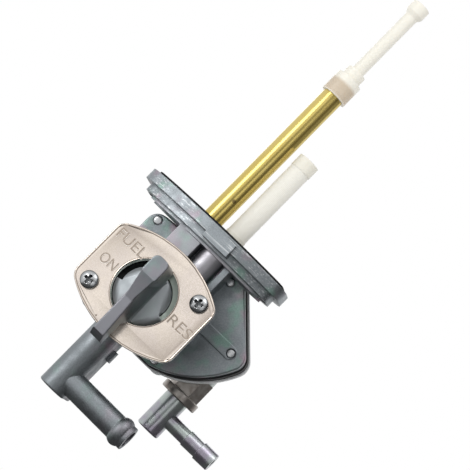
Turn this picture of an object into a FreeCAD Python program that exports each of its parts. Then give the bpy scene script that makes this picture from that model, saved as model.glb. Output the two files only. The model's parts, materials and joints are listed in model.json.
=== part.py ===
import FreeCAD, Part
import math
import os
import re

import Sketcher
from FreeCAD import Placement, Rotation, Vector

# Vacuum fuel tap, in millimetres.
# Origin: centre of the tank flange's top face.
# +Z goes up into the tank, -Y towards the lever, and +X towards the hose ends.
# A distance called front is measured from the origin towards -Y, and one called back towards +Y.

os.makedirs("parts", exist_ok=True)
doc = FreeCAD.newDocument("FuelTap")

SIZES = {
    # Tank flange and its bolts
    "flange_length": 56.6,
    "flange_width": 28,
    "flange_side_radius": 60,
    "flange_corner": 6,
    "flange_thick": 3.6,
    "step_inset": 2.6,
    "step_drop": 2.6,
    "foot_inset": 5.5,
    "foot_drop": 0.9,
    "bolt_spacing": 44,
    "bolt_hole": 6.6,
    # How far two joined forms of one casting run into each other
    "join": 1,
    # Tank gasket
    "gasket_margin": 2.1,
    "gasket_thick": 0.8,
    "gasket_pipe_gap": 0.4,
    # Pipes that stand in the tank
    "main_pipe_left": 5,
    "main_pipe_bore": 5.6,
    "main_pipe_wall": 0.75,
    "main_pipe_height": 59.9,
    "pipe_seat_depth": 7,
    "reserve_pipe_right": 4.1,
    "reserve_pipe_bore": 3.8,
    "reserve_pipe_wall": 0.6,
    "reserve_pipe_height": 7,
    "push_fit": 0.02,
    # White extension of the main pipe
    "collar_wall": 0.88,
    "collar_height": 7.4,
    "collar_overlap": 5,
    "shoulder_width": 6.6,
    "shoulder_height": 3.3,
    "tip_width": 4.4,
    "tip_length": 24.5,
    "tip_bore": 2.6,
    "tip_cone": 1.4,
    "tip_head_width": 6.3,
    "tip_head_height": 3.3,
    # White filter of the reserve pipe
    "filter_width": 7.3,
    "filter_wall": 0.75,
    "filter_length": 34,
    "filter_ring": 1.8,
    "filter_cap": 4.1,
    "filter_mesh_inset": 0.15,
    # Column between the flange and the lever chamber
    "main_column_width": 8.6,
    "main_column_front": 8,
    "reserve_column_width": 8.4,
    "reserve_column_front": 7.4,
    "web_front": 2,
    "side_rib_left": 9.2,
    "side_rib_width": 2,
    "side_rib_front": 4,
    "block_width": 9.9,
    "block_drop": 1.8,
    "block_proud": 0.3,
    "block_top": 0.9,
    # Lever chamber, whose axis runs front to back
    "lever_drop": 29.8,
    "chamber_width": 23.2,
    "chamber_floor_front": 8.2,
    "housing_wall": 2.2,
    "rim_depth": 5,
    "rim_inset": 0.7,
    # Ports in the chamber floor and the drilled passages behind them
    "port_circle": 6.2,
    "port_bore": 3,
    "main_passage": 4.4,
    "reserve_passage": 3.6,
    "drill_past_axis": 2,
    # Face plate
    "plate_width": 39.8,
    "plate_height": 32.8,
    "plate_end_radius": 35,
    "plate_corner": 4,
    "plate_thick": 1.1,
    "plate_bend_round": 0.85,
    "plate_edge": 0.3,
    "plate_hole": 20.2,
    "stop_tab_inset": 0.4,
    "stop_tab_half_angle": 13,
    "stop_tab_back": 2.5,
    "plate_screw_right": 14.3,
    "plate_screw_up": 8.6,
    # Screws
    "screw_width": 3,
    "screw_head_width": 5.5,
    "screw_head_height": 1.9,
    "screw_rim_height": 1.05,
    "screw_recess_reach": 1.5,
    "screw_recess_half_arm": 0.42,
    "screw_recess_depth": 1.3,
    "screw_lead": 0.4,
    "screw_thread_gap": 0.05,
    "screw_pass_gap": 0.2,
    "plate_screw_length": 8,
    # Lever and what seals it
    "packing_thick": 2.5,
    "packing_gap": 0.25,
    "face_gap": 0.05,
    "lever_base_thick": 5.6,
    "lever_base_gap": 0.3,
    "lever_ring_thick": 1.6,
    "lever_ring_gap": 0.06,
    "lever_boss_width": 19,
    "lever_neck_width": 15.4,
    "lever_boss_recess": 0.9,
    "lever_stop_angle": 14,
    "blade_root_width": 6,
    "blade_edge_width": 1.7,
    "blade_proud": 12,
    "blade_up": 10.5,
    "blade_down": 19.4,
    "blade_head_width": 5.6,
    "blade_head_low": 4.6,
    "blade_head_round": 1.9,
    "blade_head_gap": 0.9,
    "blade_tail_proud": 3.1,
    "blade_tail_slope": 5,
    "blade_tail_round": 2,
    "blade_round": 0.35,
    "lever_slot_depth": 2.6,
    "washer_room": 2.05,
    "wave_washer_thick": 0.35,
    "wave_washer_wide": 1.4,
    "wave_washer_gap": 0.15,
    # Rear plate of the body, with the diaphragm chamber
    "rear_face_back": 8,
    "rear_thick": 4,
    "rear_drop": 25.2,
    "rear_half_height": 19,
    "rear_left": 21,
    "rear_left_up": 17.4,
    "rear_turn_right": 11,
    "rear_lower_radius": 32,
    "rear_tip_right": 33.3,
    "rear_tip_up": 1.5,
    "rear_shoulder_right": 15.8,
    "rear_corner": 4.2,
    "rear_edge_round": 0.5,
    "strip_width": 4.2,
    "strip_proud": 0.4,
    "chamber_right": 1,
    "chamber_drop": 27,
    "fuel_chamber_width": 26.4,
    "fuel_chamber_depth": 2.8,
    "seat_bore": 5,
    "seat_depth": 2.3,
    "screw_from_left_end": 3,
    "screw_from_side": 2.4,
    "screw_past_turn": 1.1,
    "screw_from_tip": 5.7,
    "tip_screw_up": 1,
    # Outlet tower, its web and the hose spigot
    "tower_left": 0.8,
    "tower_width": 9.3,
    "tower_bottom_drop": 69,
    "tower_edge": 0.6,
    "tower_rib_width": 8.4,
    "tower_rib_front": 3,
    "gusset_width": 5.4,
    "gusset_drop": 14,
    "lug_height": 3.9,
    "lug_drop": 48.2,
    "lug_depth": 2.6,
    "lug_proud": 1,
    "spigot_drop": 63.6,
    "spigot_width": 8,
    "spigot_bore": 5.6,
    "spigot_reach": 27.1,
    "bead_width": 9.5,
    "bead_length": 3.8,
    "bead_from_end": 1.3,
    "spigot_lip": 0.1,
    "outlet_passage": 3.4,
    "outlet_port_drop": 38,
    # Diaphragm stack and cover
    "diaphragm_thick": 0.8,
    "spacer_thick": 3,
    "vent_depth": 1,
    "stack_overhang": 0.4,
    "spacer_opening": 25.6,
    "vent_width": 2,
    "cover_overhang": 0.8,
    "cover_flange_thick": 3,
    "dome_width": 30.4,
    "dome_depth": 9.9,
    "dome_draft": 1.6,
    "dome_round": 2.5,
    "dome_opening": 25.6,
    "dome_end_wall": 1.6,
    "cover_boss_width": 6.4,
    "cover_boss_height": 1,
    # Stem that the diaphragms carry
    "stem_width": 3,
    "stem_flange_width": 12,
    "stem_flange_thick": 1,
    "stem_lead": 0.4,
    "stem_nose_width": 4.4,
    "stem_nose_into_seat": 1,
    "clamp_gap": 0.05,
    "valve_ring_thick": 1.6,
    "spring_seat_width": 14,
    "spring_seat_thick": 0.9,
    "rivet_width": 4.6,
    "rivet_height": 0.8,
    # Closing spring
    "spring_wire": 0.9,
    "spring_width": 10,
    "spring_turns": 5,
    # Vacuum arm, union and elbow
    "arm_right": 22.7,
    "arm_behind_flange": 5.9,
    "arm_top_drop": 28.7,
    "arm_bottom_drop": 35.3,
    "arm_width": 11.2,
    "arm_duct_width": 6.6,
    "arm_foot_inset": 1.2,
    "vacuum_bore": 2.4,
    "vacuum_duct_drop": 31.8,
    "union_stud_width": 5.8,
    "union_stud_length": 3.4,
    "union_hex_flats": 10,
    "union_hex_height": 7.4,
    "union_rim_width": 13.4,
    "union_rim_height": 2.8,
    "union_edge": 0.5,
    "elbow_width": 8.3,
    "elbow_length": 13.6,
    "elbow_edge": 0.7,
    "elbow_stub_width": 6,
    "elbow_stub_length": 4.5,
    "nipple_up": 7,
    "nipple_reach": 22,
    "nipple_root_width": 5.2,
    "nipple_barb_length": 5.6,
    "nipple_barb_rise": 0.32,
    "nipple_barb_taper": 0.14,
    "nipple_bore": 2.6,
}

sheet = doc.addObject("Spreadsheet::Sheet", "Sizes")
for row, (alias, size) in enumerate(SIZES.items(), start=1):
    sheet.set(f"A{row}", alias)
    sheet.set(f"B{row}", str(size))
    sheet.setAlias(f"B{row}", alias)
doc.recompute()

# Places that several pieces share, each written once in terms of the sizes
SHARED = {
    "lever_base_back_front": "(chamber_floor_front + packing_thick + face_gap)",
    "lever_base_front": "(lever_base_back_front + lever_base_thick)",
    "chamber_mouth_front": "(lever_base_front + washer_room)",
    "plate_front": "(chamber_mouth_front + plate_thick)",
    "boss_front": "(plate_front - lever_boss_recess)",
    "blade_front": "(plate_front + blade_proud)",
    "step_bottom_drop": "(flange_thick + step_drop)",
    "fuel_floor_back": "(rear_face_back - fuel_chamber_depth)",
    "spacer_back": "(rear_face_back + diaphragm_thick)",
    "air_sheet_back": "(spacer_back + spacer_thick)",
    "cover_back": "(air_sheet_back + diaphragm_thick)",
    "cover_flange_back": "(cover_back + cover_flange_thick)",
    "spring_seat_back": "(cover_back + clamp_gap)",
    "dome_inside_back": "(cover_flange_back + dome_depth - dome_end_wall)",
    "main_pipe_width": "(main_pipe_bore + 2 * main_pipe_wall)",
    "reserve_pipe_width": "(reserve_pipe_bore + 2 * reserve_pipe_wall)",
    "tower_front": "(chamber_mouth_front - tower_width / 2 - face_gap)",
    "arm_back": "(cover_flange_back + arm_behind_flange)",
    "cover_screw_left": "(rear_left - screw_from_left_end)",
    "cover_screw_right": "(rear_turn_right + screw_past_turn)",
    "cover_screw_up": "(rear_half_height - screw_from_side)",
    "tip_screw_right": "(rear_tip_right - screw_from_tip)",
    "tip_seat_drop": "(rear_drop - tip_screw_up)",
    "strip_end_radius": "(strip_width / 2 + face_gap)",
    "union_hex_bottom_drop": "(arm_bottom_drop + union_hex_height)",
    "union_bottom_drop": "(union_hex_bottom_drop + union_rim_height)",
    "elbow_bottom_drop": "(union_bottom_drop + elbow_length)",
}
WORD = re.compile(r"[a-z][a-z_]*[a-z]")


def expression(text):
    """Turns words such as 'flange_length / 2' into an expression on the sheet."""
    while any(word in SHARED for word in WORD.findall(text)):
        text = WORD.sub(lambda found: SHARED.get(found.group(), found.group()), text)
    return WORD.sub(lambda found: f"Sizes.{found.group()}" if found.group() in SIZES else found.group(), text)


def measure(text):
    """The number that an expression gives."""
    return float(sheet.evalExpression(expression(text)))


def bind(item, **properties):
    """Ties properties of an object to expressions, such as Length='flange_thick'."""
    for name, text in properties.items():
        item.setExpression(name, expression(text))


def new_body(label):
    body = doc.addObject("PartDesign::Body", label)
    body.Label = label
    return body


def new_sketch(body, role, x="0", y="0", lift="0", tilt=None):
    """A sketch on one of the body's own planes, moved by x and y in the plane and lifted along its normal."""
    sketch = body.newObject("Sketcher::SketchObject", "Sketch")
    plane = next(item for item in body.Origin.OriginFeatures if item.Role == role)
    sketch.AttachmentSupport = [(plane, "")]
    sketch.MapMode = "FlatFace"
    if tilt:
        sketch.AttachmentOffset = Placement(Vector(), Rotation(Vector(1, 0, 0), 1))
        sketch.setExpression("AttachmentOffset.Rotation.Angle", expression(tilt))
    for axis, text in zip("xyz", (x, y, lift)):
        sketch.setExpression(f"AttachmentOffset.Base.{axis}", expression(text))
    return sketch


def draw_outline(sketch, corners):
    """A closed outline through corners given as (x, y). A third entry is the radius of the arc that bulges
    outwards from that corner to the next, when the corners run anticlockwise."""
    places = [Vector(measure(corner[0]), measure(corner[1]), 0) for corner in corners]
    first = sketch.GeometryCount
    for index, corner in enumerate(corners):
        start, end = places[index], places[(index + 1) % len(places)]
        if len(corner) == 2:
            sketch.addGeometry(Part.LineSegment(start, end))
            continue
        radius = measure(corner[2])
        chord = end - start
        reach = math.sqrt(radius**2 - chord.Length**2 / 4)
        centre = (start + end) / 2 + Vector(-chord.y, chord.x, 0).normalize() * reach
        turns = [math.atan2(spot.y - centre.y, spot.x - centre.x) for spot in (start, end)]
        circle = Part.Circle(centre, Vector(0, 0, 1), radius)
        sketch.addGeometry(Part.ArcOfCircle(circle, turns[0], turns[1]))
    for index, corner in enumerate(corners):
        edge = first + index
        following = first + (index + 1) % len(corners)
        sketch.addConstraint(Sketcher.Constraint("Coincident", edge, 2, following, 1))
        for kind, text in zip(("DistanceX", "DistanceY"), corner[:2]):
            number = sketch.addConstraint(Sketcher.Constraint(kind, -1, 1, edge, 1, measure(text)))
            sketch.setExpression(f"Constraints[{number}]", expression(text))
        if len(corner) == 3:
            number = sketch.addConstraint(Sketcher.Constraint("Radius", edge, measure(corner[2])))
            sketch.setExpression(f"Constraints[{number}]", expression(corner[2]))


def draw_circle(sketch, x, y, width):
    centre = Vector(measure(x), measure(y), 0)
    circle = sketch.addGeometry(Part.Circle(centre, Vector(0, 0, 1), measure(width) / 2))
    for kind, text in zip(("DistanceX", "DistanceY"), (x, y)):
        number = sketch.addConstraint(Sketcher.Constraint(kind, -1, 1, circle, 3, measure(text)))
        sketch.setExpression(f"Constraints[{number}]", expression(text))
    number = sketch.addConstraint(Sketcher.Constraint("Diameter", circle, measure(width)))
    sketch.setExpression(f"Constraints[{number}]", expression(width))


def draw_box(sketch, left, right, bottom, top):
    draw_outline(sketch, [(left, bottom), (right, bottom), (right, top), (left, top)])


def draw_bowed(sketch, width, depth, radius, inset="0"):
    """An outline about the sketch's origin: straight ends,
    and bowed sides that are depth apart in the middle."""
    half = f"(({width}) / 2 - ({inset}))"
    rise = f"(({depth}) / 2 - {radius} + sqrt(pow({radius} - ({inset}); 2) - pow({half}; 2)))"
    draw_outline(sketch, [
        (f"-{half}", f"-{rise}", f"{radius} - ({inset})"), (half, f"-{rise}"),
        (half, rise, f"{radius} - ({inset})"), (f"-{half}", rise),
    ])


# How far the two corners at the rear plate's right move for each millimetre that its outline grows
TIP_GROWTH = 1.4
SHOULDER_GROWTH = 0.4


def draw_rear(sketch, grow="0"):
    """The rear plate's outline: square to the left, with a straight upper edge and a bowed lower edge that
    meet in a tip at the right."""
    half = f"(rear_half_height + {grow})"
    draw_outline(sketch, [
        (f"-rear_left - {grow}", f"-{half}"),
        ("rear_turn_right", f"-{half}", f"rear_lower_radius + {grow}"),
        (f"rear_tip_right + {TIP_GROWTH} * {grow}", "rear_tip_up"),
        (f"rear_shoulder_right + {SHOULDER_GROWTH} * {grow}", half),
        (f"-rear_left - {grow}", f"rear_left_up + {grow}"),
    ])


def add_pad(body, sketch, length, away=False):
    """Metal from the sketch along its normal, or away from it."""
    pad = body.newObject("PartDesign::Pad", "Pad")
    pad.Profile = sketch
    pad.Reversed = away
    bind(pad, Length=length)
    doc.recompute()
    return pad


def add_turn(body, sketch):
    """A turned form about the sketch's horizontal axis."""
    turn = body.newObject("PartDesign::Revolution", "Revolution")
    turn.Profile = sketch
    turn.ReferenceAxis = (sketch, ["H_Axis"])
    turn.Angle = 360
    doc.recompute()
    return turn


def cut_pocket(body, sketch, length, along=False):
    """A hole from the sketch against its normal, or along it. It has to take metal away."""
    before = body.Shape.Volume
    pocket = body.newObject("PartDesign::Pocket", "Pocket")
    pocket.Profile = sketch
    pocket.Reversed = along
    bind(pocket, Length=length)
    doc.recompute()
    if not body.Shape.Volume < before - 1e-3:
        raise RuntimeError(f"{body.Label}: {pocket.Name} cuts nothing")
    return pocket


def dress(body, kind, size, chosen):
    """A fillet or a chamfer on the edges of the body that the test picks."""
    last = body.Tip
    names = [f"Edge{number}" for number, edge in enumerate(last.Shape.Edges, start=1) if chosen(edge)]
    if not names:
        raise RuntimeError(f"{body.Label}: no edge for the {kind}")
    feature = body.newObject(f"PartDesign::{kind}", kind)
    feature.Base = (last, names)
    bind(feature, **{"Radius" if kind == "Fillet" else "Size": size})
    doc.recompute()
    return feature


def runs_along(edge, axis):
    """Whether an edge is straight and parallel to an axis, such as 'y'."""
    if not isinstance(edge.Curve, Part.Line):
        return False
    return abs(abs(getattr(edge.Curve.Direction, axis)) - 1) < 1e-6


def lies_at(edge, axis, text):
    """Whether a whole edge lies at one place along an axis."""
    box = edge.BoundBox
    place = measure(text)
    return max(abs(getattr(box, f"{axis.upper()}{end}") - place) for end in ("Min", "Max")) < 1e-4


def stands_at(edge, text):
    """Whether an edge is upright, at one distance to the left or to the right of the origin."""
    return runs_along(edge, "z") and abs(abs(edge.CenterOfMass.x) - measure(text)) < 1e-4


# Screw places in the front view, and what each screw is measured from
COVER_SCREWS = [
    ("-cover_screw_left", "-rear_drop + rear_left_up - screw_from_side"),
    ("-cover_screw_left", "-rear_drop - cover_screw_up"),
    ("cover_screw_right", "-rear_drop + cover_screw_up"),
    ("cover_screw_right", "-rear_drop - cover_screw_up"),
    ("tip_screw_right", "-tip_seat_drop"),
]
PLATE_SCREWS = [
    ("plate_screw_right", "-lever_drop + plate_screw_up"),
    ("-plate_screw_right", "-lever_drop - plate_screw_up"),
]


def make_valve_body():
    """The casting that all the rest is fixed to."""
    body = new_body("valve_body")

    # Rear plate, with a rounded edge to the front and the strip to its tip screw
    sketch = new_sketch(body, "XZ_Plane", y="-rear_drop", lift="-rear_face_back")
    draw_rear(sketch)
    add_pad(body, sketch, "rear_thick")
    dress(body, "Fillet", "rear_corner", lambda edge: runs_along(edge, "y"))
    dress(body, "Fillet", "rear_edge_round", lambda edge: lies_at(edge, "y", "rear_face_back - rear_thick"))
    sketch = new_sketch(body, "XZ_Plane", lift="-rear_face_back + rear_thick / 2")
    draw_outline(sketch, [
        ("0", "-tip_seat_drop - strip_width / 2"),
        ("tip_screw_right", "-tip_seat_drop - strip_width / 2", "strip_end_radius"),
        ("tip_screw_right", "-tip_seat_drop + strip_width / 2"),
        ("0", "-tip_seat_drop + strip_width / 2"),
    ])
    add_pad(body, sketch, "rear_thick / 2 + strip_proud")

    # Lever chamber's housing and its rim under the face plate
    sketch = new_sketch(body, "XZ_Plane", lift="-rear_face_back + rear_thick / 2")
    draw_circle(sketch, "0", "-lever_drop", "chamber_width + 2 * housing_wall")
    add_pad(body, sketch, "rear_face_back - rear_thick / 2 + chamber_mouth_front - rim_depth / 2")
    sketch = new_sketch(body, "XZ_Plane", y="-lever_drop", lift="chamber_mouth_front - rim_depth")
    draw_bowed(sketch, "plate_width", "plate_height", "plate_end_radius", "rim_inset")
    add_pad(body, sketch, "rim_depth")
    dress(body, "Fillet", "plate_corner - rim_inset", lambda edge: runs_along(edge, "y")
          and abs(abs(edge.CenterOfMass.x) - measure("plate_width / 2 - rim_inset")) < 1e-3
          and edge.CenterOfMass.y < -measure("chamber_mouth_front - rim_depth"))

    # Column: a square main duct, a round reserve duct, the web between and a rib beside them
    columns = [
        ("-main_pipe_left - main_column_width / 2", "-main_pipe_left + main_column_width / 2",
         "-main_column_front"),
        ("reserve_pipe_right - reserve_column_width / 2", "reserve_pipe_right + reserve_column_width / 2",
         "reserve_column_width / 2 - reserve_column_front"),
        ("-main_pipe_left", "side_rib_left + side_rib_width / 2", "-web_front"),
        ("side_rib_left", "side_rib_left + side_rib_width", "-side_rib_front"),
    ]
    for left, right, front in columns:
        sketch = new_sketch(body, "XY_Plane", lift="-lever_drop")
        draw_box(sketch, left, right, front, "rear_face_back - rear_thick / 2")
        add_pad(body, sketch, "lever_drop - flange_thick / 2")
    sketch = new_sketch(body, "XY_Plane", lift="-lever_drop")
    draw_circle(sketch, "reserve_pipe_right", "reserve_column_width / 2 - reserve_column_front",
                "reserve_column_width")
    add_pad(body, sketch, "lever_drop - flange_thick / 2")

    # Tank flange with its two steps underneath, and the block over the reserve duct
    steps = [
        ("0", "flange_thick"), ("step_inset", "step_bottom_drop"), ("foot_inset", "step_bottom_drop + foot_drop"),
    ]
    for inset, drop in steps:
        sketch = new_sketch(body, "XY_Plane", lift=f"-({drop})")
        draw_bowed(sketch, "flange_length", "flange_width", "flange_side_radius", inset)
        add_pad(body, sketch, drop)
        end = f"flange_length / 2 - {inset}"
        dress(body, "Fillet", f"flange_corner - {inset}", lambda edge: stands_at(edge, end))
    sketch = new_sketch(body, "XY_Plane", lift="-flange_thick")
    draw_box(sketch, "-flange_length / 2", "flange_length / 2", "rear_face_back", "flange_width / 2")
    cut_pocket(body, sketch, "step_drop + foot_drop")
    sketch = new_sketch(body, "XY_Plane", lift="-block_top")
    draw_box(sketch, "reserve_pipe_right - block_width / 2", "reserve_pipe_right + block_width / 2",
             "-flange_width / 2 - block_proud", "-reserve_column_front / 2")
    add_pad(body, sketch, "flange_thick + block_drop - block_top", away=True)

    # Outlet tower with its rib, the gusset behind and the small lug at its side
    sketch = new_sketch(body, "XY_Plane", lift="-tower_bottom_drop")
    draw_circle(sketch, "-tower_left", "-tower_front", "tower_width")
    add_pad(body, sketch, "tower_bottom_drop - outlet_port_drop")
    sketch = new_sketch(body, "XY_Plane", lift="-tower_bottom_drop")
    draw_box(sketch, "-tower_left - tower_rib_width / 2", "-tower_left + tower_rib_width / 2",
             "-tower_front", "-tower_rib_front")
    add_pad(body, sketch, "tower_bottom_drop - outlet_port_drop")
    dress(body, "Fillet", "tower_edge", lambda edge: lies_at(edge, "z", "-tower_bottom_drop"))
    sketch = new_sketch(body, "YZ_Plane", lift="-tower_left - gusset_width / 2")
    draw_outline(sketch, [
        ("-tower_rib_front - join", "-rear_drop - rear_half_height - gusset_drop"),
        ("-tower_rib_front", "-rear_drop - rear_half_height - gusset_drop"),
        ("rear_face_back - rear_thick / 2", "-rear_drop - rear_half_height + join"),
        ("rear_face_back - rear_thick / 2", "-outlet_port_drop"),
        ("-tower_rib_front - join", "-outlet_port_drop"),
    ])
    add_pad(body, sketch, "gusset_width")
    sketch = new_sketch(body, "YZ_Plane")
    draw_box(sketch, "-tower_rib_front - lug_depth - join / 2", "-tower_rib_front - join / 2",
             "-lug_drop - lug_height", "-lug_drop")
    add_pad(body, sketch, "-tower_left + tower_rib_width / 2 + lug_proud")

    # Hose spigot with its bead, turned about its own axis
    sketch = new_sketch(body, "XZ_Plane", x="-tower_left", y="-spigot_drop", lift="tower_front")
    bead_start, bead_end = "spigot_reach - bead_from_end - bead_length", "spigot_reach - bead_from_end"
    bead_rise = "((bead_width - spigot_width) / 2)"
    draw_outline(sketch, [
        ("0", "0"), ("spigot_reach", "0"), ("spigot_reach", "spigot_width / 2 - spigot_lip"),
        ("spigot_reach - spigot_lip", "spigot_width / 2"),
        (bead_end, "spigot_width / 2", f"{bead_rise} / 2 + bead_length * bead_length / (8 * {bead_rise})"),
        (bead_start, "spigot_width / 2"), ("0", "spigot_width / 2"),
    ])
    add_turn(body, sketch)

    # Chamber for the lever, ports in its floor
    sketch = new_sketch(body, "XZ_Plane", lift="chamber_mouth_front")
    draw_circle(sketch, "0", "-lever_drop", "chamber_width")
    cut_pocket(body, sketch, "chamber_mouth_front - chamber_floor_front")
    for place in ("-port_circle", "port_circle"):
        sketch = new_sketch(body, "XZ_Plane", lift="chamber_floor_front")
        draw_circle(sketch, place, "-lever_drop", "port_bore")
        cut_pocket(body, sketch, "chamber_floor_front")
    sketch = new_sketch(body, "XZ_Plane", lift="chamber_floor_front")
    draw_circle(sketch, "0", "-lever_drop", "port_bore")
    cut_pocket(body, sketch, "chamber_floor_front + fuel_floor_back - seat_depth / 2")

    # Pipe seats in the flange and the ducts that lead down from them
    ducts = [
        ("-main_pipe_left", "main_pipe_width + 2 * push_fit", "main_passage"),
        ("reserve_pipe_right", "reserve_pipe_width + 2 * push_fit", "reserve_passage"),
    ]
    for place, seat, bore in ducts:
        sketch = new_sketch(body, "XY_Plane")
        draw_circle(sketch, place, "0", seat)
        cut_pocket(body, sketch, "pipe_seat_depth")
        sketch = new_sketch(body, "XY_Plane", lift="-pipe_seat_depth")
        draw_circle(sketch, place, "0", bore)
        cut_pocket(body, sketch, "lever_drop + drill_past_axis - pipe_seat_depth")

    # Bolt holes
    for place in ("-bolt_spacing / 2", "bolt_spacing / 2"):
        sketch = new_sketch(body, "XY_Plane")
        draw_circle(sketch, place, "0", "bolt_hole")
        cut_pocket(body, sketch, "step_bottom_drop + foot_drop + join")

    # Fuel chamber under the diaphragm, its valve seat and the sloping bore down to the spigot
    sketch = new_sketch(body, "XZ_Plane", lift="-rear_face_back")
    draw_circle(sketch, "chamber_right", "-chamber_drop", "fuel_chamber_width")
    cut_pocket(body, sketch, "fuel_chamber_depth", along=True)
    sketch = new_sketch(body, "XZ_Plane", lift="-fuel_floor_back")
    draw_circle(sketch, "chamber_right", "-chamber_drop", "seat_bore")
    cut_pocket(body, sketch, "seat_depth", along=True)
    run, fall = "(tower_front + fuel_floor_back)", "(spigot_drop - outlet_port_drop)"
    sketch = new_sketch(body, "XY_Plane", x="-tower_left", y="fuel_floor_back", lift="-outlet_port_drop",
                        tilt=f"-atan({run} / {fall})")
    draw_circle(sketch, "0", "0", "outlet_passage")
    cut_pocket(body, sketch, f"sqrt(pow({run}; 2) + pow({fall}; 2))")
    sketch = new_sketch(body, "YZ_Plane", lift="-tower_left + spigot_reach")
    draw_circle(sketch, "-tower_front", "-spigot_drop", "spigot_bore")
    cut_pocket(body, sketch, "spigot_reach")

    # Threaded holes
    for right, up in COVER_SCREWS:
        sketch = new_sketch(body, "XZ_Plane", lift="-rear_face_back")
        draw_circle(sketch, right, up, "screw_width + 2 * screw_thread_gap")
        cut_pocket(body, sketch, "rear_thick + strip_proud", along=True)
    for right, up in PLATE_SCREWS:
        sketch = new_sketch(body, "XZ_Plane", lift="chamber_mouth_front")
        draw_circle(sketch, right, up, "screw_width + 2 * screw_thread_gap")
        cut_pocket(body, sketch, "rim_depth")
    return body


def make_tank_gasket():
    body = new_body("tank_gasket")
    sketch = new_sketch(body, "XY_Plane")
    draw_bowed(sketch, "flange_length", "flange_width", "flange_side_radius", "gasket_margin")
    draw_circle(sketch, "-bolt_spacing / 2", "0", "bolt_hole")
    draw_circle(sketch, "bolt_spacing / 2", "0", "bolt_hole")
    draw_circle(sketch, "-main_pipe_left", "0", "main_pipe_width + 2 * gasket_pipe_gap")
    draw_circle(sketch, "reserve_pipe_right", "0", "reserve_pipe_width + 2 * gasket_pipe_gap")
    add_pad(body, sketch, "gasket_thick")
    dress(body, "Fillet", "flange_corner - gasket_margin",
          lambda edge: stands_at(edge, "flange_length / 2 - gasket_margin"))
    return body


def make_pipe(label, place, width, bore, height):
    """A straight pipe pressed into the flange."""
    body = new_body(label)
    sketch = new_sketch(body, "XY_Plane", lift="-pipe_seat_depth")
    draw_circle(sketch, place, "0", width)
    draw_circle(sketch, place, "0", bore)
    add_pad(body, sketch, f"pipe_seat_depth + {height}")
    return body


def turned_on_pipe(label, place, profile):
    """A form turned about a pipe's axis, from (height, radius) corners."""
    body = new_body(label)
    sketch = new_sketch(body, "XZ_Plane", x=place)
    draw_outline(sketch, [(radius, height) for height, radius in profile])
    turn = body.newObject("PartDesign::Revolution", "Revolution")
    turn.Profile = sketch
    turn.ReferenceAxis = (sketch, ["V_Axis"])
    turn.Angle = 360
    doc.recompute()
    return body


def make_stand_pipe_extension():
    """White moulded cap: a collar over the brass pipe, then a thin tube with a small head."""
    seat = "main_pipe_width / 2 + push_fit"
    low = "main_pipe_height - collar_overlap"
    shoulder = f"({low} + collar_height)"
    tube = f"({shoulder} + shoulder_height)"
    cone = f"({tube} + tip_length)"
    head = f"({cone} + tip_cone)"
    return turned_on_pipe("stand_pipe_extension", "-main_pipe_left", [
        (low, seat), (low, f"{seat} + collar_wall"), (shoulder, f"{seat} + collar_wall"),
        (shoulder, "shoulder_width / 2"), (tube, "shoulder_width / 2"), (tube, "tip_width / 2"),
        (cone, "tip_width / 2"), (head, "tip_head_width / 2"),
        (f"{head} + tip_head_height", "tip_head_width / 2"), (f"{head} + tip_head_height", "tip_bore / 2"),
        ("main_pipe_height + push_fit", "tip_bore / 2"), ("main_pipe_height + push_fit", seat),
    ])


def make_reserve_filter():
    """White moulded strainer: a closed cap, a fine mesh tube between two rings, on the reserve pipe."""
    low = "gasket_thick"
    seat = "reserve_pipe_width / 2 + push_fit"
    top = f"({low} + filter_length)"
    mesh = "filter_width / 2 - filter_mesh_inset"
    inside = "filter_width / 2 - filter_wall"
    return turned_on_pipe("reserve_filter", "reserve_pipe_right", [
        (low, seat), (low, "filter_width / 2"), (f"{low} + filter_ring", "filter_width / 2"),
        (f"{low} + filter_ring", mesh), (f"{top} - filter_cap", mesh),
        (f"{top} - filter_cap", "filter_width / 2"),
        (top, "filter_width / 2"), (top, "0"), (f"{top} - filter_cap", "0"), (f"{top} - filter_cap", inside),
        ("reserve_pipe_height", inside), ("reserve_pipe_height", seat),
    ])


def make_valve_packing():
    """Rubber disc on the chamber's floor, with the main, middle and reserve ports."""
    body = new_body("valve_packing")
    sketch = new_sketch(body, "XZ_Plane", lift="chamber_floor_front")
    draw_circle(sketch, "0", "-lever_drop", "chamber_width - 2 * packing_gap")
    for place in ("-port_circle", "0", "port_circle"):
        draw_circle(sketch, place, "-lever_drop", "port_bore")
    add_pad(body, sketch, "packing_thick")
    return body


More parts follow.
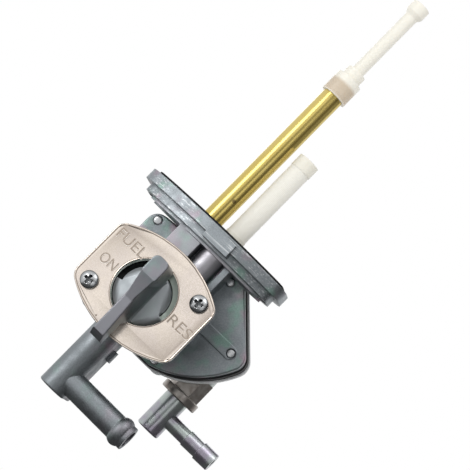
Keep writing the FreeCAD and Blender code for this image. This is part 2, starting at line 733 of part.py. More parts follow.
def make_lever():
    """Turned base with a seal groove, a stop sector round the neck and a wedge blade across the front."""
    body = new_body("lever")
    base = "chamber_width / 2 - lever_base_gap"
    groove = "chamber_width / 2 - lever_ring_gap - lever_ring_thick"
    middle = "(lever_base_back_front + lever_base_thick / 2)"
    sketch = new_sketch(body, "YZ_Plane", y="-lever_drop")
    draw_outline(sketch, [
        ("-lever_base_back_front", "0"), ("-boss_front", "0"), ("-boss_front", "lever_neck_width / 2"),
        ("-lever_base_front", "lever_neck_width / 2"), ("-lever_base_front", base),
        (f"-{middle} - lever_ring_thick / 2 - face_gap", base),
        (f"-{middle} - lever_ring_thick / 2 - face_gap", groove),
        (f"-{middle} + lever_ring_thick / 2 + face_gap", groove),
        (f"-{middle} + lever_ring_thick / 2 + face_gap", base), ("-lever_base_back_front", base),
    ])
    add_turn(body, sketch)

    # Stop sector: the full width of the boss, below the neck
    sketch = new_sketch(body, "XZ_Plane", y="-lever_drop", lift="lever_base_front")
    side = "lever_boss_width / 2 * cos(lever_stop_angle)"
    down = "-lever_boss_width / 2 * sin(lever_stop_angle)"
    draw_outline(sketch, [("0", "0"), (f"-{side}", down, "lever_boss_width / 2"), (side, down)])
    add_pad(body, sketch, "boss_front - lever_base_front")

    # Blade: its side outline first, then both flanks cut to a wedge
    sketch = new_sketch(body, "YZ_Plane", y="-lever_drop", lift="-blade_root_width / 2")
    head, tail = "(plate_front + blade_head_gap)", "(plate_front + blade_tail_proud)"
    draw_outline(sketch, [
        ("-lever_base_front", "lever_neck_width / 2 - join"),
        ("-lever_base_front", "-lever_boss_width / 2 + join / 2"),
        ("-boss_front", "-lever_boss_width / 2 + join / 2"),
        (f"-{tail}", "-lever_boss_width / 2 - blade_tail_round"),
        (f"-{tail}", "-blade_down"), ("-blade_front + blade_tail_slope + blade_tail_round", "-blade_down"),
        ("-blade_front + blade_tail_slope", "-blade_down + blade_tail_round"),
        ("-blade_front", "blade_up - blade_head_round"), (f"-{head}", "blade_up - blade_head_round"),
        (f"-{head}", "lever_neck_width / 2 - join"),
    ])
    add_pad(body, sketch, "blade_root_width")
    for side in ("", "-"):
        sketch = new_sketch(body, "XY_Plane", lift="-lever_drop - blade_down")
        draw_outline(sketch, [
            (f"{side}blade_root_width / 2", "-boss_front"), (f"{side}blade_edge_width / 2", "-blade_front"),
            (f"{side}blade_edge_width / 2", "-blade_front - join"),
            (f"{side}blade_root_width", "-blade_front - join"),
            (f"{side}blade_root_width", "-boss_front"),
        ])
        cut_pocket(body, sketch, "blade_down + blade_up", along=True)
    dress(body, "Fillet", "blade_round", lambda edge: isinstance(edge.Curve, Part.Line)
          and edge.BoundBox.YMax < -measure("blade_front - blade_tail_slope - face_gap")
          and abs(edge.CenterOfMass.x) > measure("blade_edge_width / 2") - 0.1)

    # Head: the blade flares to a round-cornered end for the thumb
    sketch = new_sketch(body, "XZ_Plane", y="-lever_drop", lift="plate_front + blade_head_gap")
    edge_side, head_side = "(blade_edge_width / 2 - blade_round)", "blade_head_width / 2"
    draw_outline(sketch, [
        (edge_side, "0"), (head_side, "blade_head_low"),
        (head_side, "blade_up - blade_head_round", "blade_head_round"),
        (f"{head_side} - blade_head_round", "blade_up"),
        (f"-{head_side} + blade_head_round", "blade_up", "blade_head_round"),
        (f"-{head_side}", "blade_up - blade_head_round"), (f"-{head_side}", "blade_head_low"),
        (f"-{edge_side}", "0"),
    ])
    add_pad(body, sketch, "blade_front - plate_front - blade_head_gap")
    head_bottom = measure("blade_head_low - lever_drop")
    dress(body, "Fillet", "blade_round", lambda edge: lies_at(edge, "y", "-blade_front")
          and edge.BoundBox.ZMin > head_bottom - 1e-3)

    # Slot in the back that joins the middle port to the one the lever points at
    sketch = new_sketch(body, "XZ_Plane", y="-lever_drop", lift="lever_base_back_front")
    draw_outline(sketch, [
        ("-port_bore / 2", "-port_circle"), ("port_bore / 2", "-port_circle"),
        ("port_bore / 2", "0"), ("-port_bore / 2", "0"),
    ])
    cut_pocket(body, sketch, "lever_slot_depth", along=True)
    return body


def make_seal_ring(label, axis, width, thick, place):
    """A round-section ring about the front-to-back axis, width over all."""
    body = new_body(label)
    ring = body.newObject("PartDesign::AdditiveTorus", "Ring")
    bind(ring, Radius1=f"({width} - {thick}) / 2", Radius2=f"{thick} / 2")
    ring.AttachmentOffset = Placement(Vector(), Rotation(Vector(1, 0, 0), 90))
    level = next(item for item in body.Origin.OriginFeatures if item.Role == "XY_Plane")
    ring.AttachmentSupport = [(level, "")]
    ring.MapMode = "FlatFace"
    for direction, text in zip("xyz", (axis[0], place, axis[1])):
        ring.setExpression(f"AttachmentOffset.Base.{direction}", expression(text))
    doc.recompute()
    return body


def make_wave_washer():
    """A flat spring steel ring bent into three waves, between the lever's base and the face plate."""
    room = measure("chamber_mouth_front - lever_base_front - 2 * wave_washer_gap")
    thick, wide = measure("wave_washer_thick"), measure("wave_washer_wide")
    radius = measure("chamber_width / 2 - lever_base_gap") - wide / 2
    middle = measure("(chamber_mouth_front + lever_base_front) / 2")
    height = (room - thick) / 2
    waves, steps = 3, 24
    points = []
    for step in range(steps):
        turn = 2 * math.pi * step / steps
        points.append(Vector(radius * math.cos(turn), -middle + height * math.sin(waves * turn),
                             radius * math.sin(turn)))
    curve = Part.BSplineCurve()
    curve.interpolate(Points=points, PeriodicFlag=True)
    spine = Part.Wire([curve.toShape()])
    start = points[0]
    corners = [start + Vector(across * wide / 2, along * thick / 2, 0)
               for across, along in ((-1, -1), (1, -1), (1, 1), (-1, 1))]
    section = Part.makePolygon(corners + corners[:1])
    shell = Part.BRepOffsetAPI.MakePipeShell(spine)
    shell.setBiNormalMode(Vector(0, 1, 0))
    shell.add(section)
    shell.build()
    shell.makeSolid()
    washer = doc.addObject("Part::Feature", "wave_washer")
    washer.Label = "wave_washer"
    washer.Shape = shell.shape()
    washer.Placement = Placement(Vector(0, 0, -measure("lever_drop")), Rotation())
    return washer


def make_face_plate():
    """Pressed plate with a rolled edge, a round opening and a stop tab at the top of the opening."""
    body = new_body("face_plate")
    sketch = new_sketch(body, "XZ_Plane", y="-lever_drop", lift="chamber_mouth_front")
    draw_bowed(sketch, "plate_width", "plate_height", "plate_end_radius")
    add_pad(body, sketch, "plate_thick")
    dress(body, "Fillet", "plate_corner", lambda edge: runs_along(edge, "y"))
    dress(body, "Fillet", "plate_edge", lambda edge: lies_at(edge, "y", "-plate_front"))
    sketch = new_sketch(body, "XZ_Plane", y="-lever_drop", lift="plate_front")
    draw_circle(sketch, "0", "0", "plate_hole")
    cut_pocket(body, sketch, "plate_thick")
    for right, up in PLATE_SCREWS:
        sketch = new_sketch(body, "XZ_Plane", lift="plate_front")
        draw_circle(sketch, right, up, "screw_width + 2 * screw_pass_gap")
        cut_pocket(body, sketch, "plate_thick")

    # Stop tab: folded back from the top of the opening, so that its end stands in the lever sector's way
    outer = "(plate_hole / 2 - stop_tab_inset)"
    inner = f"({outer} - plate_thick)"
    half = "stop_tab_half_angle"
    for low, high, front, length in (
        (inner, "(plate_hole / 2 + join / 2)", "chamber_mouth_front", "plate_thick"),
        (inner, outer, "plate_front - stop_tab_back", "stop_tab_back"),
    ):
        sketch = new_sketch(body, "XZ_Plane", y="-lever_drop", lift=front)
        draw_outline(sketch, [
            (f"-{low} * sin({half})", f"{low} * cos({half})"),
            (f"{low} * sin({half})", f"{low} * cos({half})"),
            (f"{high} * sin({half})", f"{high} * cos({half})"),
            (f"-{high} * sin({half})", f"{high} * cos({half})"),
        ])
        add_pad(body, sketch, length)
    bend = measure(f"-lever_drop + {inner} * cos({half})")
    dress(body, "Fillet", "plate_bend_round", lambda edge: runs_along(edge, "x")
          and lies_at(edge, "y", "-plate_front") and abs(edge.CenterOfMass.z - bend) < 1e-3)
    return body


def make_screw_set(label, places, seat, length, forwards):
    """Pan head screws with a cross recess, one solid each, with the head's underside at the seat."""
    pattern = new_body(f"{label}_pattern")
    sketch = new_sketch(pattern, "YZ_Plane")
    rise = "(screw_head_height - screw_rim_height)"
    dome = f"(pow(screw_head_width / 2; 2) + pow({rise}; 2)) / (2 * {rise})"
    draw_outline(sketch, [
        (length, "0"), (length, "screw_width / 2 - screw_lead"),
        (f"{length} - screw_lead", "screw_width / 2"),
        ("0", "screw_width / 2"), ("0", "screw_head_width / 2"),
        ("-screw_rim_height", "screw_head_width / 2", dome),
        ("-screw_head_height", "0"),
    ])
    add_turn(pattern, sketch)
    recess, arm = "screw_recess_reach", "screw_recess_half_arm"
    sketch = new_sketch(pattern, "XZ_Plane", lift="screw_head_height")
    draw_outline(sketch, [
        (f"-{recess}", f"-{arm}"), (f"-{arm}", f"-{arm}"), (f"-{arm}", f"-{recess}"), (arm, f"-{recess}"),
        (arm, f"-{arm}"), (recess, f"-{arm}"), (recess, arm), (arm, arm), (arm, recess), (f"-{arm}", recess),
        (f"-{arm}", arm), (f"-{recess}", arm),
    ])
    cut_pocket(pattern, sketch, "screw_recess_depth")
    links = []
    for right, up in places:
        link = doc.addObject("App::Link", f"{label}_link")
        link.LinkedObject = pattern
        if not forwards:
            link.Placement = Placement(Vector(), Rotation(Vector(0, 0, 1), 180))
        for direction, text in zip("xyz", (right, seat, up)):
            link.setExpression(f"Placement.Base.{direction}", expression(text))
        links.append(link)
    group = doc.addObject("Part::Compound", label)
    group.Label = label
    group.Links = links
    return group


def make_diaphragm(label, back):
    """A rubber sheet in the rear plate's outline, with the screw holes and a hole for the stem."""
    body = new_body(label)
    sketch = new_sketch(body, "XZ_Plane", y="-rear_drop", lift=f"-{back} - diaphragm_thick")
    draw_rear(sketch, "stack_overhang")
    add_pad(body, sketch, "diaphragm_thick")
    dress(body, "Fillet", "rear_corner + stack_overhang", lambda edge: runs_along(edge, "y"))
    sketch = new_sketch(body, "XZ_Plane", lift=f"-{back}")
    for right, up in COVER_SCREWS:
        draw_circle(sketch, right, up, "screw_width + 2 * screw_pass_gap")
    draw_circle(sketch, "chamber_right", "-chamber_drop", "stem_width + 2 * clamp_gap")
    cut_pocket(body, sketch, "diaphragm_thick")
    return body


def make_diaphragm_spacer():
    """The black ring between the two sheets, open in the middle, with a vent slot at the bottom."""
    body = new_body("diaphragm_spacer")
    sketch = new_sketch(body, "XZ_Plane", y="-rear_drop", lift="-air_sheet_back")
    draw_rear(sketch, "stack_overhang")
    add_pad(body, sketch, "spacer_thick")
    dress(body, "Fillet", "rear_corner + stack_overhang", lambda edge: runs_along(edge, "y"))
    sketch = new_sketch(body, "XZ_Plane", lift="-spacer_back")
    for right, up in COVER_SCREWS:
        draw_circle(sketch, right, up, "screw_width + 2 * screw_pass_gap")
    draw_circle(sketch, "chamber_right", "-chamber_drop", "spacer_opening")
    cut_pocket(body, sketch, "spacer_thick")
    sketch = new_sketch(body, "XZ_Plane", lift="-spacer_back - vent_depth")
    draw_box(sketch, "chamber_right - vent_width / 2", "chamber_right + vent_width / 2",
             "-rear_drop - rear_half_height - 2 * stack_overhang", "-chamber_drop")
    cut_pocket(body, sketch, "vent_depth")
    return body


def make_plunger_stem():
    """Stem with a nose in the valve seat, a flange under the fuel diaphragm and a riveted end."""
    body = new_body("plunger_stem")
    flange_back = "(rear_face_back - clamp_gap)"
    nose = "(fuel_floor_back - stem_nose_into_seat)"
    seat_end = "(spring_seat_back + spring_seat_thick + clamp_gap)"
    sketch = new_sketch(body, "YZ_Plane", y="-chamber_drop", lift="chamber_right")
    draw_outline(sketch, [
        (nose, "0"), (nose, "stem_nose_width / 2 - stem_lead"),
        (f"{nose} + stem_lead", "stem_nose_width / 2"),
        (f"{flange_back} - stem_flange_thick", "stem_nose_width / 2"),
        (f"{flange_back} - stem_flange_thick", "stem_flange_width / 2"),
        (flange_back, "stem_flange_width / 2"),
        (flange_back, "stem_width / 2"), (seat_end, "stem_width / 2"), (seat_end, "rivet_width / 2"),
        (f"{seat_end} + rivet_height", "rivet_width / 2 - stem_lead"), (f"{seat_end} + rivet_height", "0"),
    ])
    add_turn(body, sketch)
    return body


def make_stem_disc(label, start, thick, width, lip=False):
    """A disc on the stem, between or behind the diaphragms, with a turned-up edge where a spring sits."""
    body = new_body(label)
    sketch = new_sketch(body, "YZ_Plane", y="-chamber_drop", lift="chamber_right")
    hole = "stem_width / 2 + clamp_gap"
    corners = [(start, hole), (f"{start} + {thick}", hole), (f"{start} + {thick}", f"{width} / 2"),
               (start, f"{width} / 2")]
    if lip:
        corners[2:3] = [(f"{start} + {thick}", f"{width} / 2 - {thick}"),
                        (f"{start} + 2 * {thick}", f"{width} / 2 - {thick}"),
                        (f"{start} + 2 * {thick}", f"{width} / 2")]
    draw_outline(sketch, corners)
    add_turn(body, sketch)
    return body


def make_diaphragm_spring():
    """Closing spring between the spring seat and the end of the cover."""
    start = "(spring_seat_back + spring_seat_thick + spring_wire / 2 + clamp_gap)"
    end = "(dome_inside_back - spring_wire / 2 - clamp_gap)"
    helix = doc.addObject("Part::Helix", "spring_path")
    bind(helix, Radius="(spring_width - spring_wire) / 2", Height=f"{end} - {start}",
         Pitch=f"({end} - {start}) / spring_turns")
    section = doc.addObject("Part::Circle", "spring_section")
    bind(section, Radius="spring_wire / 2")
    section.Placement = Placement(Vector(), Rotation(Vector(1, 0, 0), 90))
    section.setExpression("Placement.Base.x", expression("(spring_width - spring_wire) / 2"))
    coil = doc.addObject("Part::Sweep", "diaphragm_spring")
    coil.Label = "diaphragm_spring"
    coil.Sections = [section]
    coil.Spine = (helix, [])
    coil.Solid = True
    coil.Frenet = True
    coil.Placement = Placement(Vector(), Rotation(Vector(1, 0, 0), -90))
    for direction, text in zip("xyz", ("chamber_right", start, "-chamber_drop")):
        coil.setExpression(f"Placement.Base.{direction}", expression(text))
    doc.recompute()
    return coil


def make_vacuum_cover():
    """The casting at the back: a flange, a dome over the spring and an arm that carries the vacuum union."""
    body = new_body("vacuum_cover")
    sketch = new_sketch(body, "XZ_Plane", y="-rear_drop", lift="-cover_flange_back")
    draw_rear(sketch, "cover_overhang")
    add_pad(body, sketch, "cover_flange_thick")
    dress(body, "Fillet", "rear_corner + cover_overhang", lambda edge: runs_along(edge, "y"))
    dress(body, "Fillet", "rear_edge_round", lambda edge: lies_at(edge, "y", "cover_flange_back"))

    # Dome, turned about the chamber's axis
    sketch = new_sketch(body, "YZ_Plane", y="-chamber_drop", lift="chamber_right")
    top = "(cover_flange_back + dome_depth)"
    draw_outline(sketch, [
        ("cover_back + join", "0"), (top, "0"), (top, "dome_width / 2 - dome_draft"),
        ("cover_flange_back", "dome_width / 2"), ("cover_back + join", "dome_width / 2"),
    ])
    add_turn(body, sketch)
    dress(body, "Fillet", "dome_round", lambda edge: lies_at(edge, "y", top))

    # Arm: an upright boss for the union, the duct from the dome and a foot on the flange
    sketch = new_sketch(body, "XY_Plane", lift="-arm_bottom_drop")
    draw_circle(sketch, "arm_right", "arm_back", "arm_width")
    add_pad(body, sketch, "arm_bottom_drop - arm_top_drop")
    sketch = new_sketch(body, "YZ_Plane", lift="chamber_right")
    draw_circle(sketch, "arm_back", "-vacuum_duct_drop", "arm_duct_width")
    add_pad(body, sketch, "arm_right - chamber_right")
    sketch = new_sketch(body, "XY_Plane", lift="-arm_bottom_drop")
    foot = "(arm_width / 2 - arm_foot_inset)"
    draw_box(sketch, f"arm_right - {foot}", f"arm_right + {foot}", "cover_flange_back - join", "arm_back")
    add_pad(body, sketch, "arm_bottom_drop - arm_top_drop - face_gap")

    # Bosses under the screw heads
    for right, up in COVER_SCREWS:
        sketch = new_sketch(body, "XZ_Plane", lift="-cover_flange_back - cover_boss_height")
        draw_circle(sketch, right, up, "cover_boss_width")
        add_pad(body, sketch, "cover_boss_height + join")

    # Spring chamber, screw holes, and the passage from the union's thread
    sketch = new_sketch(body, "XZ_Plane", lift="-cover_back")
    draw_circle(sketch, "chamber_right", "-chamber_drop", "dome_opening")
    cut_pocket(body, sketch, "dome_inside_back - cover_back")
    sketch = new_sketch(body, "XZ_Plane", lift="-cover_back")
    for right, up in COVER_SCREWS:
        draw_circle(sketch, right, up, "screw_width + 2 * screw_pass_gap")
    cut_pocket(body, sketch, "cover_flange_thick + cover_boss_height")
    sketch = new_sketch(body, "YZ_Plane", lift="chamber_right + dome_opening / 2 - join")
    draw_circle(sketch, "arm_back", "-vacuum_duct_drop", "vacuum_bore")
    cut_pocket(body, sketch, "arm_right - chamber_right - dome_opening / 2 + join", along=True)
    sketch = new_sketch(body, "XY_Plane", lift="-arm_bottom_drop")
    draw_circle(sketch, "arm_right", "arm_back", "union_stud_width + 2 * screw_thread_gap")
    cut_pocket(body, sketch, "union_stud_length + screw_lead", along=True)
    return body


def make_vacuum_union():
    """Hexagon with a round rim below, screwed up into the cover's arm."""
    body = new_body("vacuum_union")
    sketch = new_sketch(body, "XY_Plane", lift="-union_hex_bottom_drop")
    corners = []
    for number in range(6):
        turn = f"{60 * number}"
        corners.append((f"arm_right + union_hex_flats / sqrt(3) * cos({turn})",
                        f"arm_back + union_hex_flats / sqrt(3) * sin({turn})"))
    draw_outline(sketch, corners)
    add_pad(body, sketch, "union_hex_height")
    sketch = new_sketch(body, "XY_Plane", lift="-arm_bottom_drop")
    draw_circle(sketch, "arm_right", "arm_back", "union_stud_width")
    add_pad(body, sketch, "union_stud_length")
    sketch = new_sketch(body, "XY_Plane", lift="-union_bottom_drop")
    draw_circle(sketch, "arm_right", "arm_back", "union_rim_width")
    add_pad(body, sketch, "union_rim_height")
    dress(body, "Fillet", "union_edge", lambda edge: isinstance(edge.Curve, Part.Circle)
          and edge.Curve.Radius > measure("union_rim_width / 2") - 1e-3)
    sketch = new_sketch(body, "XY_Plane", lift="-union_bottom_drop")
    draw_circle(sketch, "arm_right", "arm_back", "elbow_stub_width + 2 * push_fit")
    cut_pocket(body, sketch, "elbow_stub_length + push_fit", along=True)
    sketch = new_sketch(body, "XY_Plane", lift="-union_bottom_drop")
    draw_circle(sketch, "arm_right", "arm_back", "vacuum_bore")
    cut_pocket(body, sketch, "union_bottom_drop - arm_bottom_drop + union_stud_length", along=True)
    return body


def make_vacuum_elbow():
    """Upright barrel pressed into the union, with a barbed nipple to the side."""
    body = new_body("vacuum_elbow")
    sketch = new_sketch(body, "XY_Plane", lift="-elbow_bottom_drop")
    draw_circle(sketch, "arm_right", "arm_back", "elbow_width")
    add_pad(body, sketch, "elbow_length - push_fit")
    dress(body, "Fillet", "elbow_edge", lambda edge: lies_at(edge, "z", "-elbow_bottom_drop"))
    sketch = new_sketch(body, "XY_Plane", lift="-elbow_bottom_drop + elbow_length / 2")
    draw_circle(sketch, "arm_right", "arm_back", "elbow_stub_width")
    add_pad(body, sketch, "elbow_length / 2 + elbow_stub_length")

    # Nipple: a plain root, then barbs that each step up and taper towards the open end
    sketch = new_sketch(body, "XZ_Plane", x="arm_right", y="-elbow_bottom_drop + nipple_up", lift="-arm_back")
    root = "nipple_root_width / 2"
    barb = "nipple_barb_rise"
    corners = [("0", "0"), ("nipple_reach", "0")]
    for number in (0, 1):
        end = f"nipple_reach - {number} * nipple_barb_length"
        step = f"{root} + {2 - number} * {barb}"
        corners.append((end, f"{step} - nipple_barb_taper"))
        corners.append((f"{end} - nipple_barb_length", step))
    corners += [("nipple_reach - 2 * nipple_barb_length", root), ("0", root)]
    draw_outline(sketch, corners)
    add_turn(body, sketch)
    sketch = new_sketch(body, "YZ_Plane", lift="arm_right + nipple_reach")
    draw_circle(sketch, "arm_back", "-elbow_bottom_drop + nipple_up", "nipple_bore")
    cut_pocket(body, sketch, "nipple_reach")
    sketch = new_sketch(body, "XY_Plane", lift="-union_bottom_drop + elbow_stub_length")
    draw_circle(sketch, "arm_right", "arm_back", "vacuum_bore")
    cut_pocket(body, sketch, "elbow_stub_length + elbow_length - nipple_up")
    return body


pieces = [
    make_valve_body(),
    make_tank_gasket(),
    make_pipe("stand_pipe", "-main_pipe_left", "main_pipe_width", "main_pipe_bore", "main_pipe_height"),
    make_stand_pipe_extension(),
    make_pipe("reserve_pipe", "reserve_pipe_right", "reserve_pipe_width", "reserve_pipe_bore",
              "reserve_pipe_height - push_fit"),
    make_reserve_filter(),
    make_valve_packing(),
    make_lever(),
    make_seal_ring("lever_seal_ring", ("0", "-lever_drop"), "(chamber_width - 2 * lever_ring_gap)",
                   "lever_ring_thick", "-lever_base_back_front - lever_base_thick / 2"),
    make_wave_washer(),
    make_face_plate(),
    make_screw_set("face_plate_screws", PLATE_SCREWS, "-plate_front", "plate_screw_length", True),
    make_diaphragm("fuel_diaphragm", "rear_face_back"),
    make_diaphragm_spacer(),
    make_diaphragm("air_diaphragm", "air_sheet_back"),
    make_plunger_stem(),
    make_seal_ring("valve_seal_ring", ("chamber_right", "-chamber_drop"),
                   "(stem_nose_width + 2 * clamp_gap + 2 * valve_ring_thick)", "valve_ring_thick",
                   "fuel_floor_back + clamp_gap + valve_ring_thick / 2"),
    make_stem_disc("plunger_collar", "(spacer_back + clamp_gap)", "(spacer_thick - 2 * clamp_gap)",
                   "stem_flange_width"),
    make_stem_disc("spring_seat", "spring_seat_back", "spring_seat_thick", "spring_seat_width", lip=True),
    make_diaphragm_spring(),
    make_vacuum_cover(),
    make_screw_set("cover_screws", COVER_SCREWS, "cover_flange_back + cover_boss_height",
                   "cover_flange_thick + cover_boss_height + 2 * diaphragm_thick + spacer_thick + rear_thick"
                   " + strip_proud", False),
    make_vacuum_union(),
    make_vacuum_elbow(),
]
doc.recompute()

# Nothing is written unless every object is sound
for item in doc.Objects:
    if "Invalid" in item.State or "Error" in item.State:
        raise RuntimeError(f"{item.Label} is {item.State}")
for piece in pieces:
    if piece.Shape.isNull() or not piece.Shape.isValid():
        raise RuntimeError(f"{piece.Label} has no valid shape")
for piece in pieces:
    piece.Shape.exportStep(f"parts/{piece.Label}.step")
    print(piece.Label, len(piece.Shape.Solids), round(piece.Shape.Volume, 1))
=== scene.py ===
import contextlib
import json
import math

import bpy
from bpy.props import FloatProperty, FloatVectorProperty, PointerProperty
from mathutils import Matrix, Vector

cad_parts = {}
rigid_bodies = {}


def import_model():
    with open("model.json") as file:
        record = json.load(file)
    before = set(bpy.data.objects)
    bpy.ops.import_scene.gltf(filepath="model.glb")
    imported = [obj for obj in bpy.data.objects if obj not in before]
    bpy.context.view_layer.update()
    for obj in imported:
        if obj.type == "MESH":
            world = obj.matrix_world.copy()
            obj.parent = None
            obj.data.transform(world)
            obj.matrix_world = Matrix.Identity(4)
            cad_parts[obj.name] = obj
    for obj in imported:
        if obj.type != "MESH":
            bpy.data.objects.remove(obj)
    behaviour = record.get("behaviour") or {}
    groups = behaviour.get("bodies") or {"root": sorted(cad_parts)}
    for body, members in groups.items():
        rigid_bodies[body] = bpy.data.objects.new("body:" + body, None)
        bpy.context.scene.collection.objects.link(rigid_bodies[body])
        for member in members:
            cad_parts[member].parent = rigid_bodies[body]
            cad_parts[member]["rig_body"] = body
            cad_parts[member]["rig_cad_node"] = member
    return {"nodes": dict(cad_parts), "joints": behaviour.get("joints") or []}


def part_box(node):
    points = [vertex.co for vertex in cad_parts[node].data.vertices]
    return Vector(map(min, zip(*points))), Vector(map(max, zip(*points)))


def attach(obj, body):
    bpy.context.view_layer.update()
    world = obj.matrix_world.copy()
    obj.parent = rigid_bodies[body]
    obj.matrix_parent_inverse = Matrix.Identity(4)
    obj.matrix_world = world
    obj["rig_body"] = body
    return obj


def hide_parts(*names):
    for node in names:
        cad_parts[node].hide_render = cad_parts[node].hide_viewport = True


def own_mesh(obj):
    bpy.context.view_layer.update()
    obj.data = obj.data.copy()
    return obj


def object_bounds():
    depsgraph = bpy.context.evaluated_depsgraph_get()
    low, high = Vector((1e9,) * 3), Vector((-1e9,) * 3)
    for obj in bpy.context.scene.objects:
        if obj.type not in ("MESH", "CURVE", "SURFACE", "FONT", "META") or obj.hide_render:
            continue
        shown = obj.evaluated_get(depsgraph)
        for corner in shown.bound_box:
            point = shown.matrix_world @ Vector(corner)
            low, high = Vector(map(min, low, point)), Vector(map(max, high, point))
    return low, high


bl_info = {
    "name": "Fuel Tap Finish",
    "version": (1, 0, 0),
    "blender": (4, 5, 0),
    "location": "3D View > Sidebar > Fuel Tap",
    "description": "Finishes the pieces of a vacuum fuel tap and sets it up in a small studio",
    "category": "Object",
}

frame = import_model()
NODES = frame["nodes"]
CAD_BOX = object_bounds()
MM = 0.001

# Places read from the frame, in metres
JOINTS = {joint["name"]: joint for joint in frame["joints"]}
LEVER_AXIS = Vector(JOINTS["lever_turn"]["pos_m"])
PLATE_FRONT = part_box("face_plate")[0].y
PIPE_LOW, PIPE_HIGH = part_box("stand_pipe")
PIPE_AXIS = (PIPE_LOW + PIPE_HIGH) / 2
CAP_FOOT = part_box("stand_pipe_extension")[0].z
COVER_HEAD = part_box("cover_screws")[1].y
FILTER_LOW, FILTER_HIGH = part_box("reserve_filter")

# Heights and depths on the castings that no box gives, in metres
TOWER_FOOT, TOWER_HEAD = -56 * MM, -44 * MM
FLANGE_WEAR = -6.5 * MM
NECK_FOOT, NECK_HEAD = -19.5 * MM, -6.5 * MM
NECK_BACK = -4.5 * MM
NECK_LEFT = 1 * MM
DISC_FRONT = -20.65 * MM
WASHER_FRONT = -17.05 * MM
RING_RADIUS = 7.8 * MM
WASHER_RADIUS = 8.1 * MM
RIDGE_BACK = -25.5 * MM
RIDGE_HEAD, RIDGE_FOOT = -26 * MM, -34 * MM

# The solid lever's front: half the width of its ridge and of its head's tip, and how far the ridge falls
# back for each metre down. The head's round end starts this far above the axis, and the tail this far
# below it. The tail is widened to this share.
SOLID_RIDGE = 1.13 * MM
SOLID_TIP = 0.5 * MM
RIDGE_SLOPE = 0.19
HEAD_ROUND = 8.5 * MM
TAIL_DROP = 16 * MM
TAIL_GROWTH = 1.2

# How near points are one and the same, and how small a face is a sliver
SAME_PLACE = 1e-6
SLIVER = 0.002 * MM

# Second tones that a finish drifts, wears or darkens to, and tones of painted light and shade
CAST_GRAIN = (0.10, 0.105, 0.11)
CAST_SCRATCH = (0.66, 0.68, 0.69)
CAST_NECK_PAINTED_LIGHT = (0.60, 0.57, 0.61)
COVER_WARM, COVER_COOL = (0.60, 0.53, 0.56), (0.52, 0.58, 0.55)
LEVER_DISC_PAINTED_LIGHT = (0.52, 0.55, 0.57)
LEVER_GAP_SHADE = (0.015, 0.016, 0.016)
LEVER_CRESCENT_LIGHT = (0.80, 0.90, 0.82)
LEVER_RIDGE_LIGHT = (0.31, 0.31, 0.34)
NICKEL_CLOUD = (0.78, 0.70, 0.66)
NICKEL_SPECKLE = (0.58, 0.49, 0.40)
NICKEL_DIRT_AND_SHADE = (0.16, 0.12, 0.09)
NICKEL_EDGE_SHADE = (0.33, 0.29, 0.25)
LETTER_SHADE, LETTER_LIGHT, LETTER_WEAR = (0.32, 0.26, 0.21), (0.86, 0.80, 0.74), (0.5, 0.43, 0.36)
SCREW_GRAIN = (0.24, 0.25, 0.25)
SCREW_RECESS_SHADE = (0.05, 0.055, 0.06)
BRASS_LINE = (0.50, 0.38, 0.11)
BRASS_CLOUD = (0.72, 0.60, 0.24)
BRASS_PAINTED_REFLECTION = (0.20, 0.14, 0.03)
BRASS_SPOT = (0.12, 0.08, 0.03)
NYLON_CLOUD = (0.82, 0.79, 0.70)
NYLON_OVER_BRASS = (0.58, 0.48, 0.36)
GAUZE_SHADE = (0.78, 0.765, 0.70)
GAUZE_ENDS = (0.76, 0.735, 0.64)
RUBBER_DUST = (0.022, 0.022, 0.022)
STEEL_TINT = (0.45, 0.48, 0.45)
WASHER_PALE, WASHER_TINT = (0.72, 0.82, 0.75), (0.80, 0.80, 0.80)
UNION_TINT = (0.25, 0.22, 0.20)
ELBOW_TINT = (0.37, 0.34, 0.41)
FLOOR_GREY = (0.86, 0.86, 0.86, 1)
WHITE = (1, 1, 1, 1)

# How nylon lets light through: share, depth in metres, and depth for red, green and blue
NYLON_GLOW = {"Subsurface_Weight": 0.3, "Subsurface_Scale": 1 * MM, "Subsurface_Radius": (1.0, 0.95, 0.9)}


# Shader maths


class Socket:
    """A shader socket that takes part in Python sums. Each sum adds its Math node."""

    def __init__(self, finish, link):
        self.finish = finish
        self.link = link

    def __add__(self, other):
        return self.finish.maths("ADD", self, other)

    def __radd__(self, other):
        return self.finish.maths("ADD", other, self)

    def __sub__(self, other):
        return self.finish.maths("SUBTRACT", self, other)

    def __rsub__(self, other):
        return self.finish.maths("SUBTRACT", other, self)

    def __mul__(self, other):
        return self.finish.maths("MULTIPLY", self, other)

    def __rmul__(self, other):
        return self.finish.maths("MULTIPLY", other, self)


